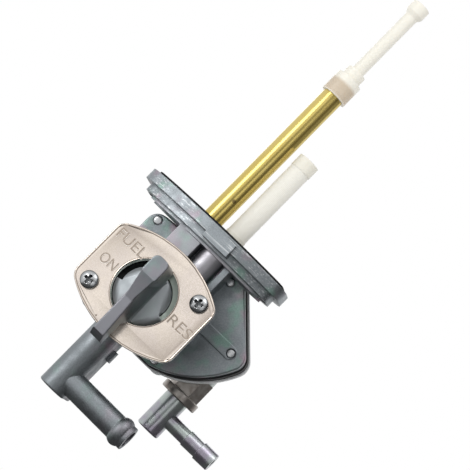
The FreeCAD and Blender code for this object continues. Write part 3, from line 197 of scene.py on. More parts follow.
class Finish:
    """A material in the making: its nodes come from node(), its values from sums of Sockets."""

    def __init__(self, name, blocks=None):
        """Starts a material, or a world when its blocks are bpy.data.worlds."""
        self.block = (bpy.data.materials if blocks is None else blocks).new(name)
        self.block.use_nodes = True
        self.tree = self.block.node_tree
        self.tree.nodes.clear()
        self.coordinates = None

    def node(self, kind, settings=None, output=0, **inputs):
        """Adds a node: its settings first, then the values or links of its sockets.

        A socket is named with _ for a space, or by s and its number. A node with no outputs gives None.
        """
        node = self.tree.nodes.new(kind)
        for name, value in (settings or {}).items():
            setattr(node, name, value)
        for name, value in inputs.items():
            place = int(name[1:]) if name[1:].isdigit() else name.replace("_", " ")
            if isinstance(value, Socket):
                self.tree.links.new(value.link, node.inputs[place])
            else:
                node.inputs[place].default_value = value
        return Socket(self, node.outputs[output]) if node.outputs else None

    def maths(self, operation, *values):
        """A Math node on one or two values."""
        return self.node("ShaderNodeMath", {"operation": operation},
                         **{f"s{number}": value for number, value in enumerate(values)})

    def spot(self):
        """The surface's place, in metres."""
        if self.coordinates is None:
            self.coordinates = self.node("ShaderNodeTexCoord", output="Object")
        return self.coordinates

    def axis(self, name):
        """One coordinate of the surface's place, in metres."""
        return self.node("ShaderNodeSeparateXYZ", output="XYZ".index(name), Vector=self.spot())

    def distance(self, x, z):
        """How far the surface is from a line that runs front to back through x and z, in metres."""
        across, up = self.axis("X") - x, self.axis("Z") - z
        return self.maths("SQRT", across * across + up * up)

    def noise(self, size, detail=2.0, roughness=0.5, stretch=(1, 1, 1)):
        """Cloudy noise from 0 to 1, whose patches are about size metres wide."""
        spot = self.node("ShaderNodeMapping", Vector=self.spot(), Scale=stretch)
        return self.node("ShaderNodeTexNoise", Vector=spot, Scale=1 / size, Detail=detail,
                         Roughness=roughness)

    def between(self, value, low, high, start=0.0, end=1.0):
        """Maps low..high smoothly to start..end, held at both ends."""
        return self.node("ShaderNodeMapRange", {"interpolation_type": "SMOOTHSTEP"}, Value=value,
                         From_Min=low, From_Max=high, To_Min=start, To_Max=end)

    def above(self, value, level, fade):
        """0 below a level and 1 above it, with a fade on each side."""
        return self.between(value, level - fade, level + fade)

    def below(self, value, level, fade):
        """1 below a level and 0 above it, with a fade on each side."""
        return self.between(value, level + fade, level - fade)

    def mix(self, mask, one, other):
        """The first colour where the mask is 0, the second where it is 1."""
        one, other = (colour if isinstance(colour, Socket) else (*colour, 1) for colour in (one, other))
        return self.node("ShaderNodeMix", {"data_type": "RGBA"}, output=2, s0=mask, s6=one, s7=other)

    def round_edges(self, radius):
        """A normal that rounds the sharp edges of a solid in the picture."""
        return self.node("ShaderNodeBevel", {"samples": 6}, Radius=radius)

    def bump(self, height, depth, under=None):
        """A normal raised by height, whose full step is depth metres."""
        start = {"Normal": under} if under else {}
        return self.node("ShaderNodeBump", Height=height, Distance=depth, Strength=1.0, **start)

    def white_rays(self):
        """1 for the rays that see the stage white: the camera's, reflected ones and those in clear pieces."""
        camera, glossy, clear = (self.node("ShaderNodeLightPath", output=ray) for ray in
                                 ("Is Camera Ray", "Is Glossy Ray", "Is Transmission Ray"))
        return self.node("ShaderNodeClamp", Value=camera + glossy + clear)

    def close(self, **inputs):
        """Ends the material in one Principled surface."""
        return self.end(self.node("ShaderNodeBsdfPrincipled", **inputs))

    def end(self, surface, output="ShaderNodeOutputMaterial"):
        """Links the surface to the output and gives the finished material."""
        self.node(output, Surface=surface)
        return self.block


def cast_metal(name, colour, warm, cool, rough, metal=1.0, worn_above=None):
    """Die-cast zinc: fine grain, warm and cool patches from its passivation, and painted shade that darkens
    it at the tower.

    Given a wear height, it has scratches along X above that height, and painted light that makes the neck
    paler.
    """
    finish = Finish(name)
    patches = finish.between(finish.noise(11 * MM, 2), 0.5, 0.68)
    other_patches = finish.between(finish.noise(8 * MM, 2, stretch=(1.3, 0.9, 1.1)), 0.52, 0.7)
    grain = finish.noise(0.35 * MM, 4, 0.65)
    # Painted shade: below the tower's head the casting is darkened to 0.8 of its colour.
    upper = finish.between(finish.axis("Z"), TOWER_FOOT, TOWER_HEAD)
    colour = finish.mix(upper, tuple(0.8 * part for part in colour), colour)
    colour = finish.mix(patches * (upper * 0.5 + 0.2), colour, warm)
    colour = finish.mix(other_patches * (upper * 0.45 + 0.2), colour, cool)
    colour = finish.mix(finish.between(grain, 0.3, 0.7) * 0.3, colour, CAST_GRAIN)
    if worn_above is not None:
        lines = finish.noise(0.4 * MM, 2, 0.6, stretch=(0.02, 1, 1))
        rubbed = finish.between(finish.noise(5 * MM, 2, stretch=(0.6, 1, 1)), 0.4, 0.55)
        height = finish.above(finish.axis("Z"), worn_above, 0.5 * MM)
        scratches = finish.between(lines, 0.55, 0.66) * rubbed * height
        colour = finish.mix(scratches * 0.75, colour, CAST_SCRATCH)
        # Painted light: the neck, and less so the block left of it, is made paler.
        neck = finish.above(finish.axis("Z"), NECK_FOOT, 1 * MM)
        neck = neck * finish.below(finish.axis("Z"), NECK_HEAD, 0.5 * MM)
        neck = neck * finish.below(finish.axis("Y"), NECK_BACK, 0.5 * MM)
        right = finish.between(finish.axis("X"), NECK_LEFT - 0.5 * MM, NECK_LEFT + 0.5 * MM, 0.45, 1)
        colour = finish.mix(neck * right * 0.7, colour, CAST_NECK_PAINTED_LIGHT)
    roughness = finish.between(finish.noise(3 * MM, 3), 0.3, 0.7, rough - 0.06, rough + 0.08)
    normal = finish.bump(grain, 0.035 * MM, finish.round_edges(0.35 * MM))
    return finish.close(Base_Color=colour, Metallic=metal, Roughness=roughness, Normal=normal)


def lever_metal(colour, warm, cool):
    """The lever's smoother casting: painted light on a paler disc, painted shade in the gap round it, a
    painted light crescent on the ring below, and painted light on its ridge.
    """
    finish = Finish("lever_casting")
    warm_patches = finish.between(finish.noise(7 * MM, 2), 0.5, 0.7)
    tone = finish.mix(warm_patches * 0.15, colour, warm)
    cool_patches = finish.between(finish.noise(5 * MM, 2, stretch=(1.3, 0.9, 1.1)), 0.5, 0.7)
    tone = finish.mix(cool_patches * 0.25, tone, cool)
    away = finish.distance(LEVER_AXIS.x, LEVER_AXIS.z)
    front = finish.axis("Y")
    across = finish.axis("X") - LEVER_AXIS.x
    # Painted light: the disc is made paler.
    disc = finish.above(front, DISC_FRONT, 0.35 * MM)
    tone = finish.mix(disc * 0.6, tone, LEVER_DISC_PAINTED_LIGHT)
    # Painted shade: the gap round the disc is made near black.
    ring = finish.above(away, RING_RADIUS, 0.05 * MM) * finish.above(front, WASHER_FRONT, 0.15 * MM)
    tone = finish.mix(ring * 0.93, tone, LEVER_GAP_SHADE)
    # Painted light: a pale, less metallic crescent on the ring right of the axis.
    lit_crescent = ring * finish.between(across, 0.5 * MM, 3 * MM) * finish.above(away, WASHER_RADIUS, 0.1 * MM)
    tone = finish.mix(lit_crescent * 0.95, tone, LEVER_CRESCENT_LIGHT)
    # Painted light: the ridge down the lever's front is made paler.
    ridge = finish.between(across * across, (2.0 * MM) ** 2, (1.5 * MM) ** 2)
    ridge = ridge * finish.below(front, RIDGE_BACK, 0.5 * MM)
    ridge = ridge * finish.between(finish.axis("Z"), RIDGE_HEAD, RIDGE_FOOT)
    tone = finish.mix(ridge * 0.9, tone, LEVER_RIDGE_LIGHT)
    grain = finish.noise(0.3 * MM, 3, 0.6)
    roughness = finish.between(finish.noise(3 * MM, 3), 0.3, 0.7, 0.28, 0.4) + disc * 0.2
    normal = finish.bump(grain, 0.012 * MM, finish.round_edges(0.3 * MM))
    return finish.close(Base_Color=tone, Metallic=1 - lit_crescent * 0.85, Roughness=roughness, Normal=normal)


def plated(name, colour, tint, rough, edge, tint_size=4 * MM, haze=0.3, metal=1.0):
    """Bright plating with a slow drift of tint and a very fine grain."""
    finish = Finish(name)
    drift = finish.between(finish.noise(tint_size, 2), 0.35, 0.7)
    grain = finish.noise(0.15 * MM, 3, 0.6)
    dull = finish.noise(1.5 * MM, 3)
    tone = finish.mix(drift, colour, tint)
    roughness = finish.between(dull, 0.3, 0.7, rough * (1 - haze), rough * (1 + haze))
    normal = finish.bump(grain, 0.0012 * MM, finish.round_edges(edge))
    return finish.close(Base_Color=tone, Metallic=metal, Roughness=roughness, Normal=normal)


def plate_metal(colour, step):
    """Satin nickel of the face plate: fine speckle, painted shade as a brown line in the step and on its
    edges, one dark speck.
    """
    finish = Finish("satin_nickel")
    front = finish.axis("Y") - PLATE_FRONT
    # Painted shade: a brown line in the step, and darker edges behind the step.
    slope = finish.between(front, 0.1 * step, 0.4 * step) * finish.between(front, 1.02 * step, 0.9 * step)
    edge = finish.between(front, 1.1 * step, 1.3 * step)
    speckle = finish.noise(0.5 * MM, 4, 0.7)
    clouds = finish.noise(7 * MM, 2)
    tone = finish.mix(finish.between(clouds, 0.35, 0.65) * 0.55, colour, NICKEL_CLOUD)
    tone = finish.mix(finish.between(speckle, 0.35, 0.6) * 0.25, tone, NICKEL_SPECKLE)
    tone = finish.mix(slope * 0.75, tone, NICKEL_DIRT_AND_SHADE)
    tone = finish.mix(edge * 0.6, tone, NICKEL_EDGE_SHADE)
    away = finish.distance(LEVER_AXIS.x - 5.4 * MM, LEVER_AXIS.z - 14.6 * MM)
    tone = finish.mix(finish.between(away, 0.42 * MM, 0.2 * MM) * 0.7, tone, NICKEL_DIRT_AND_SHADE)
    roughness = finish.between(speckle, 0.3, 0.7, 0.13, 0.22)
    normal = finish.bump(speckle, 0.006 * MM, finish.round_edges(0.1 * MM))
    return finish.close(Base_Color=tone, Metallic=0.75, Roughness=roughness, Normal=normal)


def letter_metal(name, colour):
    """The shaded or the lit side of a pressed letter, slightly uneven."""
    finish = Finish(name)
    wear = finish.between(finish.noise(0.8 * MM, 3), 0.35, 0.7)
    return finish.close(Base_Color=finish.mix(wear * 0.45, colour, LETTER_WEAR), Roughness=0.5, Metallic=0.3)


def screw_metal(name, colour, rim, side):
    """Bright screw plating, with painted shade down in the recess. Rim is where the head's rounded face
    starts along Y.
    """
    finish = Finish(name)
    depth = (finish.axis("Y") - rim) * side
    # Painted shade down in the recess.
    dark = finish.between(depth, -0.45 * MM, 0.1 * MM) * finish.between(depth, 1.5 * MM, 1.2 * MM)
    grain = finish.noise(0.3 * MM, 3, 0.6)
    tone = finish.mix(finish.between(grain, 0.35, 0.65) * 0.3, colour, SCREW_GRAIN)
    tone = finish.mix(dark * 0.8, tone, SCREW_RECESS_SHADE)
    roughness = finish.between(grain, 0.3, 0.7, 0.16, 0.3)
    normal = finish.bump(grain, 0.01 * MM)
    return finish.close(Base_Color=tone, Metallic=1.0, Roughness=roughness, Normal=normal)


def drawn_brass(colour):
    """Drawn brass tube: fine lines along it, and a painted reflection as a dark streak down its right front,
    with a spot low in it.
    """
    finish = Finish("drawn_brass")
    lines = finish.noise(0.6 * MM, 2, 0.5, stretch=(1, 1, 0.02))
    cloud = finish.noise(5 * MM, 2, stretch=(1, 1, 0.4))
    tone = finish.mix(finish.between(lines, 0.35, 0.7) * 0.3, colour, BRASS_LINE)
    tone = finish.mix(finish.between(cloud, 0.45, 0.75) * 0.3, tone, BRASS_CLOUD)
    across = finish.axis("X") - PIPE_AXIS.x
    front = finish.below(finish.axis("Y"), -1 * MM, 0.5 * MM)
    # Painted reflection: a dark streak down the tube's right front.
    streak = finish.above(across, 1.95 * MM, 0.2 * MM) * finish.below(across, 2.55 * MM, 0.2 * MM) * front
    tone = finish.mix(streak * 0.7, tone, BRASS_PAINTED_REFLECTION)
    spot = finish.below(finish.distance(PIPE_AXIS.x + 1.6 * MM, 9.6 * MM), 0.6 * MM, 0.3 * MM) * front
    tone = finish.mix(spot * 0.8, tone, BRASS_SPOT)
    roughness = finish.between(lines, 0.3, 0.7, 0.16, 0.24)
    normal = finish.bump(lines, 0.002 * MM, finish.round_edges(0.1 * MM))
    return finish.close(Base_Color=tone, Metallic=0.7, Roughness=roughness, Normal=normal)


def nylon(name, colour, inner, low, high):
    """White nylon that lets light through a little, and shows the brass inside it between two heights."""
    finish = Finish(name)
    height = finish.axis("Z")
    inside = finish.between(height, low - 0.3 * MM, low + 0.6 * MM) * finish.below(height, high, 0.8 * MM)
    cloud = finish.noise(3 * MM, 2, stretch=(1, 1, 0.5))
    tone = finish.mix(finish.between(cloud, 0.3, 0.7) * 0.3, colour, NYLON_CLOUD)
    tone = finish.mix(inside * 0.9, tone, inner)
    normal = finish.bump(finish.noise(0.6 * MM, 3), 0.01 * MM, finish.round_edges(0.15 * MM))
    return finish.close(Base_Color=tone, Roughness=0.38, Normal=normal, **NYLON_GLOW)


def filter_nylon(colour):
    """White nylon gauze between a plain cap and a plain ring."""
    finish = Finish("gauze_nylon")
    height = finish.axis("Z")
    gauze = finish.above(height, FILTER_LOW.z + 1.8 * MM, 0.1 * MM)
    gauze = gauze * finish.below(height, FILTER_HIGH.z - 4.1 * MM, 0.1 * MM)
    middle = (FILTER_LOW.x + FILTER_HIGH.x) / 2
    turn = finish.maths("ARCTAN2", finish.axis("Y"), finish.axis("X") - middle)
    rows = finish.maths("SINE", height * (2 * math.pi / (0.4 * MM)))
    posts = finish.maths("SINE", turn * 56)
    weave = (rows + posts) * 0.25 * gauze
    shade = finish.between(weave, -0.3, 0.4)
    tone = finish.mix(shade * gauze * 0.12, colour, GAUZE_SHADE)
    tone = finish.mix((1 - gauze) * 0.6, tone, GAUZE_ENDS)
    normal = finish.bump(weave, 0.05 * MM, finish.round_edges(0.12 * MM))
    return finish.close(Base_Color=tone, Roughness=0.5, Normal=normal, **NYLON_GLOW)


def rubber(name, colour, rough):
    """Moulded rubber or plain black plastic, dull, with a fine cloudy grain."""
    finish = Finish(name)
    grain = finish.noise(0.3 * MM, 3)
    tone = finish.mix(finish.between(finish.noise(4 * MM, 2), 0.3, 0.7) * 0.4, colour, RUBBER_DUST)
    normal = finish.bump(grain, 0.02 * MM, finish.round_edges(0.12 * MM))
    return finish.close(Base_Color=tone, Roughness=rough, Specular_IOR_Level=0.2, Normal=normal)


# Settings that a user would change


class TapSizes(bpy.types.PropertyGroup):
    letter_height: FloatProperty(
        name="Letter height", description="Height of the capitals", default=3.3 * MM,
        unit="LENGTH", precision=5)
    letter_stroke: FloatProperty(
        name="Letter stroke", description="Width of a letter's stroke", default=0.3 * MM,
        unit="LENGTH", precision=5)
    ridge: FloatProperty(
        name="Lever ridge", description="Half the width of the lever's front edge", default=1.45 * MM, min=0,
        unit="LENGTH", precision=5)
    head_slope: FloatProperty(
        name="Lever head slope", description="How far the foot of the lever's head falls to the ridge",
        default=1.65 * MM, min=0, unit="LENGTH", precision=5)
    head_reach: FloatProperty(
        name="Lever head reach", description="How far the foot of the lever's head runs down the ridge",
        default=4.6 * MM, min=0, unit="LENGTH", precision=5)
    plate_edge: FloatProperty(
        name="Plate edge", description="Width of the pressed step round the plate", default=0.45 * MM,
        unit="LENGTH", precision=5)
    plate_step: FloatProperty(
        name="Plate step", description="How far the plate's middle lies below its edge", default=0.12 * MM,
        unit="LENGTH", precision=5)


class TapColours(bpy.types.PropertyGroup):
    cast: FloatVectorProperty(
        name="Casting", description="Bare die-cast zinc", default=(0.315, 0.345, 0.365), subtype="COLOR")
    cast_warm: FloatVectorProperty(
        name="Warm patches", description="Pinkish passivation", default=(0.47, 0.31, 0.39), subtype="COLOR")
    cast_cool: FloatVectorProperty(
        name="Cool patches", description="Greenish passivation", default=(0.24, 0.42, 0.34), subtype="COLOR")
    cover: FloatVectorProperty(
        name="Cover", description="Paler die-cast cover", default=(0.60, 0.61, 0.62), subtype="COLOR")
    lever: FloatVectorProperty(
        name="Lever", description="Smooth cast lever", default=(0.22, 0.245, 0.26), subtype="COLOR")
    plate: FloatVectorProperty(
        name="Face plate", description="Satin nickel", default=(0.90, 0.81, 0.72), subtype="COLOR")
    brass: FloatVectorProperty(
        name="Brass", description="Drawn brass tube", default=(0.62, 0.48, 0.14), subtype="COLOR")
    nylon: FloatVectorProperty(
        name="Nylon", description="White moulded nylon", default=(0.86, 0.835, 0.755), subtype="COLOR")
    rubber: FloatVectorProperty(
        name="Rubber", description="Black rubber", default=(0.010, 0.010, 0.011), subtype="COLOR")
    steel: FloatVectorProperty(
        name="Steel", description="Bright spring and screw steel", default=(0.50, 0.51, 0.52),
        subtype="COLOR")
    union: FloatVectorProperty(
        name="Union", description="Plated hexagon union", default=(0.38, 0.355, 0.33), subtype="COLOR")
    elbow: FloatVectorProperty(
        name="Elbow", description="Plated elbow", default=(0.44, 0.49, 0.47), subtype="COLOR")


class TapStudio(bpy.types.PropertyGroup):
    azimuth: FloatProperty(
        name="Azimuth", description="How far the camera stands to the right of the front",
        default=math.radians(11.5), subtype="ANGLE")
    elevation: FloatProperty(
        name="Elevation", description="How far the camera stands above the tap's middle",
        default=math.radians(-5.1), subtype="ANGLE")
    roll: FloatProperty(
        name="Roll", description="How far the tap is turned clockwise in the picture",
        default=math.radians(44.48), subtype="ANGLE")
    distance: FloatProperty(
        name="Distance", description="From the camera to the point it looks at", default=0.5, unit="LENGTH")
    target_x: FloatProperty(
        name="Target X", description="How far right of the origin the camera looks", default=3.5 * MM,
        unit="LENGTH", precision=5)
    target_z: FloatProperty(
        name="Target Z", description="How far above the origin the camera looks", default=2.62 * MM,
        unit="LENGTH", precision=5)
    lens: FloatProperty(
        name="Lens", description="Focal length in millimetres", default=125.0, unit="CAMERA")
    floor_drop: FloatProperty(
        name="Floor drop", description="How far the floor lies below the origin", default=0.3, unit="LENGTH")


# Ways of working on a mesh


def alone(piece):
    """Selects one object and nothing else."""
    bpy.ops.object.select_all(action="DESELECT")
    piece.select_set(True)
    bpy.context.view_layer.objects.active = piece


@contextlib.contextmanager
def editing(everything=False):
    """Edit mode for the active object, with everything in it selected if so asked."""
    bpy.ops.object.mode_set(mode="EDIT")
    if everything:
        bpy.ops.mesh.select_all(action="SELECT")
    yield
    bpy.ops.object.mode_set(mode="OBJECT")


def pick(piece, kind, wanted):
    """Selects the faces or the points of an object that the test wants, and no others."""
    alone(piece)
    with editing():
        bpy.ops.mesh.select_mode(type=kind)
        bpy.ops.mesh.select_all(action="DESELECT")
    picked = [element for element in (piece.data.polygons if kind == "FACE" else piece.data.vertices)
              if wanted(element)]
    if not picked:
        raise RuntimeError(f"nothing to pick on {piece.name}")
    for element in picked:
        element.select = True


def stretch(share):
    """Widens the picked points to both sides of the lever's middle."""
    with editing():
        bpy.ops.transform.resize(value=(share, 1, 1), center_override=LEVER_AXIS)


def shift(y, z):
    """Moves the picked points back and up."""
    with editing():
        bpy.ops.transform.translate(value=(0, y, z))


def apply_modifier(piece, kind, name, **settings):
    """Adds a modifier to the active object and applies it."""
    modifier = piece.modifiers.new(name, kind)
    for key, value in settings.items():
        setattr(modifier, key, value)
    bpy.ops.object.modifier_apply(modifier=modifier.name)


def corners(piece):
    """The lowest and highest corner of an object's mesh."""
    places = [vertex.co for vertex in piece.data.vertices]
    return (Vector(min(place[axis] for place in places) for axis in range(3)),
            Vector(max(place[axis] for place in places) for axis in range(3)))


def smooth_copy(node, name):
    """A copy of a CAD node's mesh, its loose triangles merged to a closed solid."""
    piece = NODES[node].copy()
    piece.data = NODES[node].data.copy()
    piece.name = name
    piece.parent = None
    bpy.context.scene.collection.objects.link(piece)
    alone(piece)
    with editing(everything=True):
        bpy.ops.mesh.remove_doubles(threshold=SAME_PLACE)
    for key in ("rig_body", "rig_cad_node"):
        if key in piece:
            del piece[key]
    return piece


def join(pieces, name):
    """Makes one object of several."""
    bpy.ops.object.select_all(action="DESELECT")
    for piece in pieces:
        piece.select_set(True)
    bpy.context.view_layer.objects.active = pieces[0]
    bpy.ops.object.join()
    pieces[0].name = name
    return pieces[0]


def coat(material, *names):
    """Gives CAD nodes their material."""
    for name in names:
        slots = NODES[name].data.materials
        slots.clear()
        slots.append(material)


def finish_piece(piece, material, body, slot, *nodes):
    """Gives a new piece its material and its body, and hides the nodes it stands for. The slot is not used.
    """
    piece.data.materials.clear()
    piece.data.materials.append(material)
    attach(piece, body)
    if nodes:
        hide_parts(*nodes)


# Operators, one for each piece or group of like pieces


class TAP_OT_castings(bpy.types.Operator):
    """Finishes the body and the vacuum cover in die-cast zinc"""

    bl_idname = "tap.castings"
    bl_label = "Castings"

    def execute(self, context):
        colours = context.scene.tap_colours
        body = cast_metal("die_cast_body", colours.cast, colours.cast_warm, colours.cast_cool, 0.47,
                          worn_above=FLANGE_WEAR)
        coat(body, "valve_body")
        coat(cast_metal("die_cast_cover", colours.cover, COVER_WARM, COVER_COOL, 0.44, 0.5), "vacuum_cover")
        return {"FINISHED"}


class TAP_OT_lever(bpy.types.Operator):
    """Lets the lever's head fall gently to a broader ridge, and finishes it in smooth casting"""

    bl_idname = "tap.lever"
    bl_label = "Lever"

    # How far the lever's front, and the front of its tail, reach behind its foremost point, in metres
    FRONT_DEPTH, TAIL_DEPTH = 2 * MM, 6 * MM
    # Between which heights above the head's tip the ridge starts, in metres
    RIDGE_START = (0.3 * MM, 1.6 * MM)
    # How near a point is to the height or depth that it is picked by, in metres
    NEAR = 0.1 * MM
    # The width of the head's tip, as a share of the ridge's
    TIP_SHARE = 0.9
    # How far in front of the face plate the lever's flat sides end, in metres
    SIDES_END = 0.6 * MM

    def execute(self, context):
        sizes, colours = context.scene.tap_sizes, context.scene.tap_colours
        lever = smooth_copy("lever", "shaped_lever")
        foremost = corners(lever)[0].y
        front = foremost + self.FRONT_DEPTH
        tip = LEVER_AXIS.z
        low, high = (tip + rise for rise in self.RIDGE_START)
        # The head of the ridge, just above the head's tip
        pick(lever, "VERT", lambda point: point.co.y < front and low < point.co.z < high)
        stretch(sizes.ridge / SOLID_RIDGE)
        # The tip of the head, moved down the ridge, and then its front points, let back on to the ridge
        pick(lever, "VERT", lambda point: point.co.y < front and abs(point.co.z - tip) < self.NEAR)
        stretch(sizes.ridge * self.TIP_SHARE / SOLID_TIP)
        fall = sizes.head_reach * RIDGE_SLOPE
        shift(fall, -sizes.head_reach)
        pick(lever, "VERT", lambda point: point.co.y < foremost + fall + self.NEAR
             and abs(point.co.z - tip + sizes.head_reach) < self.NEAR)
        shift(sizes.head_slope, 0)
        # The tail
        pick(lever, "VERT", lambda point: point.co.y < foremost + self.TAIL_DEPTH
             and point.co.z < tip - TAIL_DROP)
        stretch(TAIL_GROWTH)
        bpy.ops.object.shade_smooth_by_angle(angle=math.radians(30))
        # Flat sides, below the head's round end and in front of the disc
        pick(lever, "FACE", lambda face: face.center.z < tip + HEAD_ROUND
             and face.center.y < PLATE_FRONT - self.SIDES_END)
        with editing():
            bpy.ops.mesh.faces_shade_flat()
        apply_modifier(lever, "WEIGHTED_NORMAL", "flat_faces", keep_sharp=True)
        smooth_casting = lever_metal(colours.lever, colours.cast_warm, colours.cast_cool)
        finish_piece(lever, smooth_casting, "lever", "lever_metal", "lever")
        return {"FINISHED"}


class TAP_OT_face_plate(bpy.types.Operator):
    """Presses a fine step round the face plate's edges and its openings"""

    bl_idname = "tap.face_plate"
    bl_label = "Face plate"

    def execute(self, context):
        sizes, colours = context.scene.tap_sizes, context.scene.tap_colours
        plate = smooth_copy("face_plate", "pressed_face_plate")
        with editing(everything=True):
            bpy.ops.mesh.dissolve_limited(angle_limit=math.radians(1))
        pick(plate, "FACE", lambda face: face.normal.y < -0.999 and face.center.y < PLATE_FRONT + 0.01 * MM)
        with editing():
            bpy.ops.mesh.inset(thickness=sizes.plate_edge, depth=-sizes.plate_step, use_boundary=True)
        bpy.ops.object.shade_smooth_by_angle(angle=math.radians(30))
        apply_modifier(plate, "WEIGHTED_NORMAL", "flat_faces", keep_sharp=True)
        finish_piece(plate, plate_metal(colours.plate, sizes.plate_step), "tap", "nickel_plate", "face_plate")
        return {"FINISHED"}


class TAP_OT_plate_words(bpy.types.Operator):
    """Marks the plain switch words on the face plate, each stroke with a bright side"""

    bl_idname = "tap.plate_words"
    bl_label = "Plate words"

    # Word, its middle to the right of and above the lever's axis, and its width, in millimetres
    WORDS = (("FUEL", -12.9, 7.9, 10.7), ("ON", -14.2, -0.7, 5.8), ("RES", 15.0, 0.0, 8.2))
    # The height of a capital, as a share of the font's size
    CAPITAL = 0.72
    # How far the lit and the shaded strokes stand on the plate, in metres
    LIGHT_PROUD, SHADE_PROUD = 0.008 * MM, 0.016 * MM

    def word(self, name, right, up, width, height, proud):
        """One word as a thin mesh on the plate."""
        bpy.ops.object.select_all(action="DESELECT")
        bpy.ops.object.text_add()
        letters = bpy.context.object
        letters.data.body = name
        letters.data.size = height / self.CAPITAL
        letters.data.extrude = proud
        letters.data.resolution_u = 6
        bpy.ops.object.convert(target="MESH")
        letters = bpy.context.object
        bpy.ops.object.origin_set(type="ORIGIN_GEOMETRY", center="BOUNDS")
        letters.dimensions = (width, height, letters.dimensions.z)
        letters.location = (LEVER_AXIS.x + right, PLATE_FRONT, LEVER_AXIS.z + up)
        letters.rotation_euler = (math.radians(90), 0, 0)
        bpy.ops.object.transform_apply()
        return letters

    def execute(self, context):
        sizes = context.scene.tap_sizes
        dark = letter_metal("letter_shade", LETTER_SHADE)
        bright = letter_metal("letter_light", LETTER_LIGHT)
        for label, material, across, proud in (
                ("letter_lights", bright, sizes.letter_stroke * 0.5, self.LIGHT_PROUD),
                ("letter_shades", dark, 0, self.SHADE_PROUD)):
            words = [self.word(name, right * MM + across, up * MM - across, width * MM,
                               sizes.letter_height, proud) for name, right, up, width in self.WORDS]
            finish_piece(join(words, label), material, "tap", "nickel_plate")
        return {"FINISHED"}


class TAP_OT_tubes(bpy.types.Operator):
    """Finishes the brass pipes and stem, and the white nylon pieces on the pipes"""

    bl_idname = "tap.tubes"
    bl_label = "Pipes and nylon"

    def execute(self, context):
        colours = context.scene.tap_colours
        coat(drawn_brass(colours.brass), "stand_pipe", "reserve_pipe", "plunger_stem")
        cap = nylon("cap_nylon", colours.nylon, NYLON_OVER_BRASS, CAP_FOOT, PIPE_HIGH.z)
        coat(cap, "stand_pipe_extension")
        coat(filter_nylon(colours.nylon), "reserve_filter")
        return {"FINISHED"}


class TAP_OT_rubber(bpy.types.Operator):
    """Finishes the gasket, the diaphragms, the rings and the black plastic pieces"""

    bl_idname = "tap.rubber"
    bl_label = "Rubber and black plastic"

    def execute(self, context):
        black = context.scene.tap_colours.rubber
        coat(rubber("black_rubber", black, 0.7), "tank_gasket", "fuel_diaphragm", "air_diaphragm",
             "valve_packing", "lever_seal_ring", "valve_seal_ring")
        coat(rubber("black_plastic", black, 0.6), "diaphragm_spacer", "plunger_collar")
        return {"FINISHED"}


class TAP_OT_screws(bpy.types.Operator):
    """Cuts a lobed cross recess in one screw of each set, rounds its edges and copies it to its places"""

    bl_idname = "tap.screws"
    bl_label = "Screws"

    # How far a rounded face's rim lies in front of the plate, or below a cover screw's top, in metres
    RIM = 1.1 * MM
    # How far the recess's lobes are turned, in degrees, and how far they lie from its middle, in metres
    LOBE_TURN, LOBE_REACH = 12, 1.0 * MM

    def cutter(self, place, inwards, **cone):
        """A cone along Y, narrow end inwards."""
        bpy.ops.mesh.primitive_cone_add(location=place, rotation=(math.radians(90 * inwards), 0, 0), **cone)
        return bpy.context.object

    def recess(self, middle, front, inwards):
        """Cutters of one recess: four lobes round a deeper tapered middle."""
        place = Vector((middle.x, front, middle.z))
        cutters = []
        for quarter in range(4):
            turn = math.radians(90 * quarter + self.LOBE_TURN)
            lobe = place + Vector((math.cos(turn), 0, math.sin(turn))) * self.LOBE_REACH
            cutters.append(self.cutter(lobe, inwards, vertices=24, radius1=0.30 * MM, radius2=0.62 * MM,
                                       depth=2.0 * MM))
        cutters.append(self.cutter(place, inwards, vertices=32, radius1=0.35 * MM, radius2=1.0 * MM,
                                   depth=3.0 * MM))
        return cutters

    def clear_slivers(self):
        """Takes away the tiny faces that cutting and bevelling leave on the active screw."""
        with editing(everything=True):
            bpy.ops.mesh.remove_doubles(threshold=SLIVER)
            bpy.ops.mesh.dissolve_degenerate(threshold=SLIVER)

    def finish_set(self, node, label, inwards, material):
        """Refines one screw of a node. Its head faces away from inwards, which is +1 or -1 along Y."""
        smooth_copy(node, label)
        with editing(everything=True):
            bpy.ops.mesh.separate(type="LOOSE")
        model, *spares = bpy.context.selected_objects
        boxes = [corners(screw) for screw in (model, *spares)]
        middles = [(low + high) / 2 for low, high in boxes]
        front = boxes[0][0].y if inwards > 0 else boxes[0][1].y
        for spare in spares:
            bpy.data.objects.remove(spare)
        for cutter in self.recess(middles[0], front, inwards):
            alone(model)
            apply_modifier(model, "BOOLEAN", "recess", object=cutter, operation="DIFFERENCE", solver="EXACT")
            bpy.data.objects.remove(cutter)
        alone(model)
        self.clear_slivers()
        apply_modifier(model, "BEVEL", "soft_edges", width=0.07 * MM, segments=2, limit_method="ANGLE",
                       angle_limit=math.radians(40))
        self.clear_slivers()
        bpy.ops.object.shade_smooth_by_angle(angle=math.radians(35))
        screws = [model]
        for middle in middles[1:]:
            screw = model.copy()
            screw.data = model.data.copy()
            bpy.context.scene.collection.objects.link(screw)
            alone(screw)
            screw.location = middle - middles[0]
            bpy.ops.object.transform_apply()
            screws.append(screw)
        finish_piece(join(screws, label), material, "tap", "screw_steel", node)

    def execute(self, context):
        steel = context.scene.tap_colours.steel
        self.finish_set("face_plate_screws", "lobed_plate_screws", 1,
                        screw_metal("plate_screw", steel, PLATE_FRONT - self.RIM, 1))
        self.finish_set("cover_screws", "lobed_cover_screws", -1,
                        screw_metal("cover_screw", steel, COVER_HEAD - self.RIM, -1))
        return {"FINISHED"}


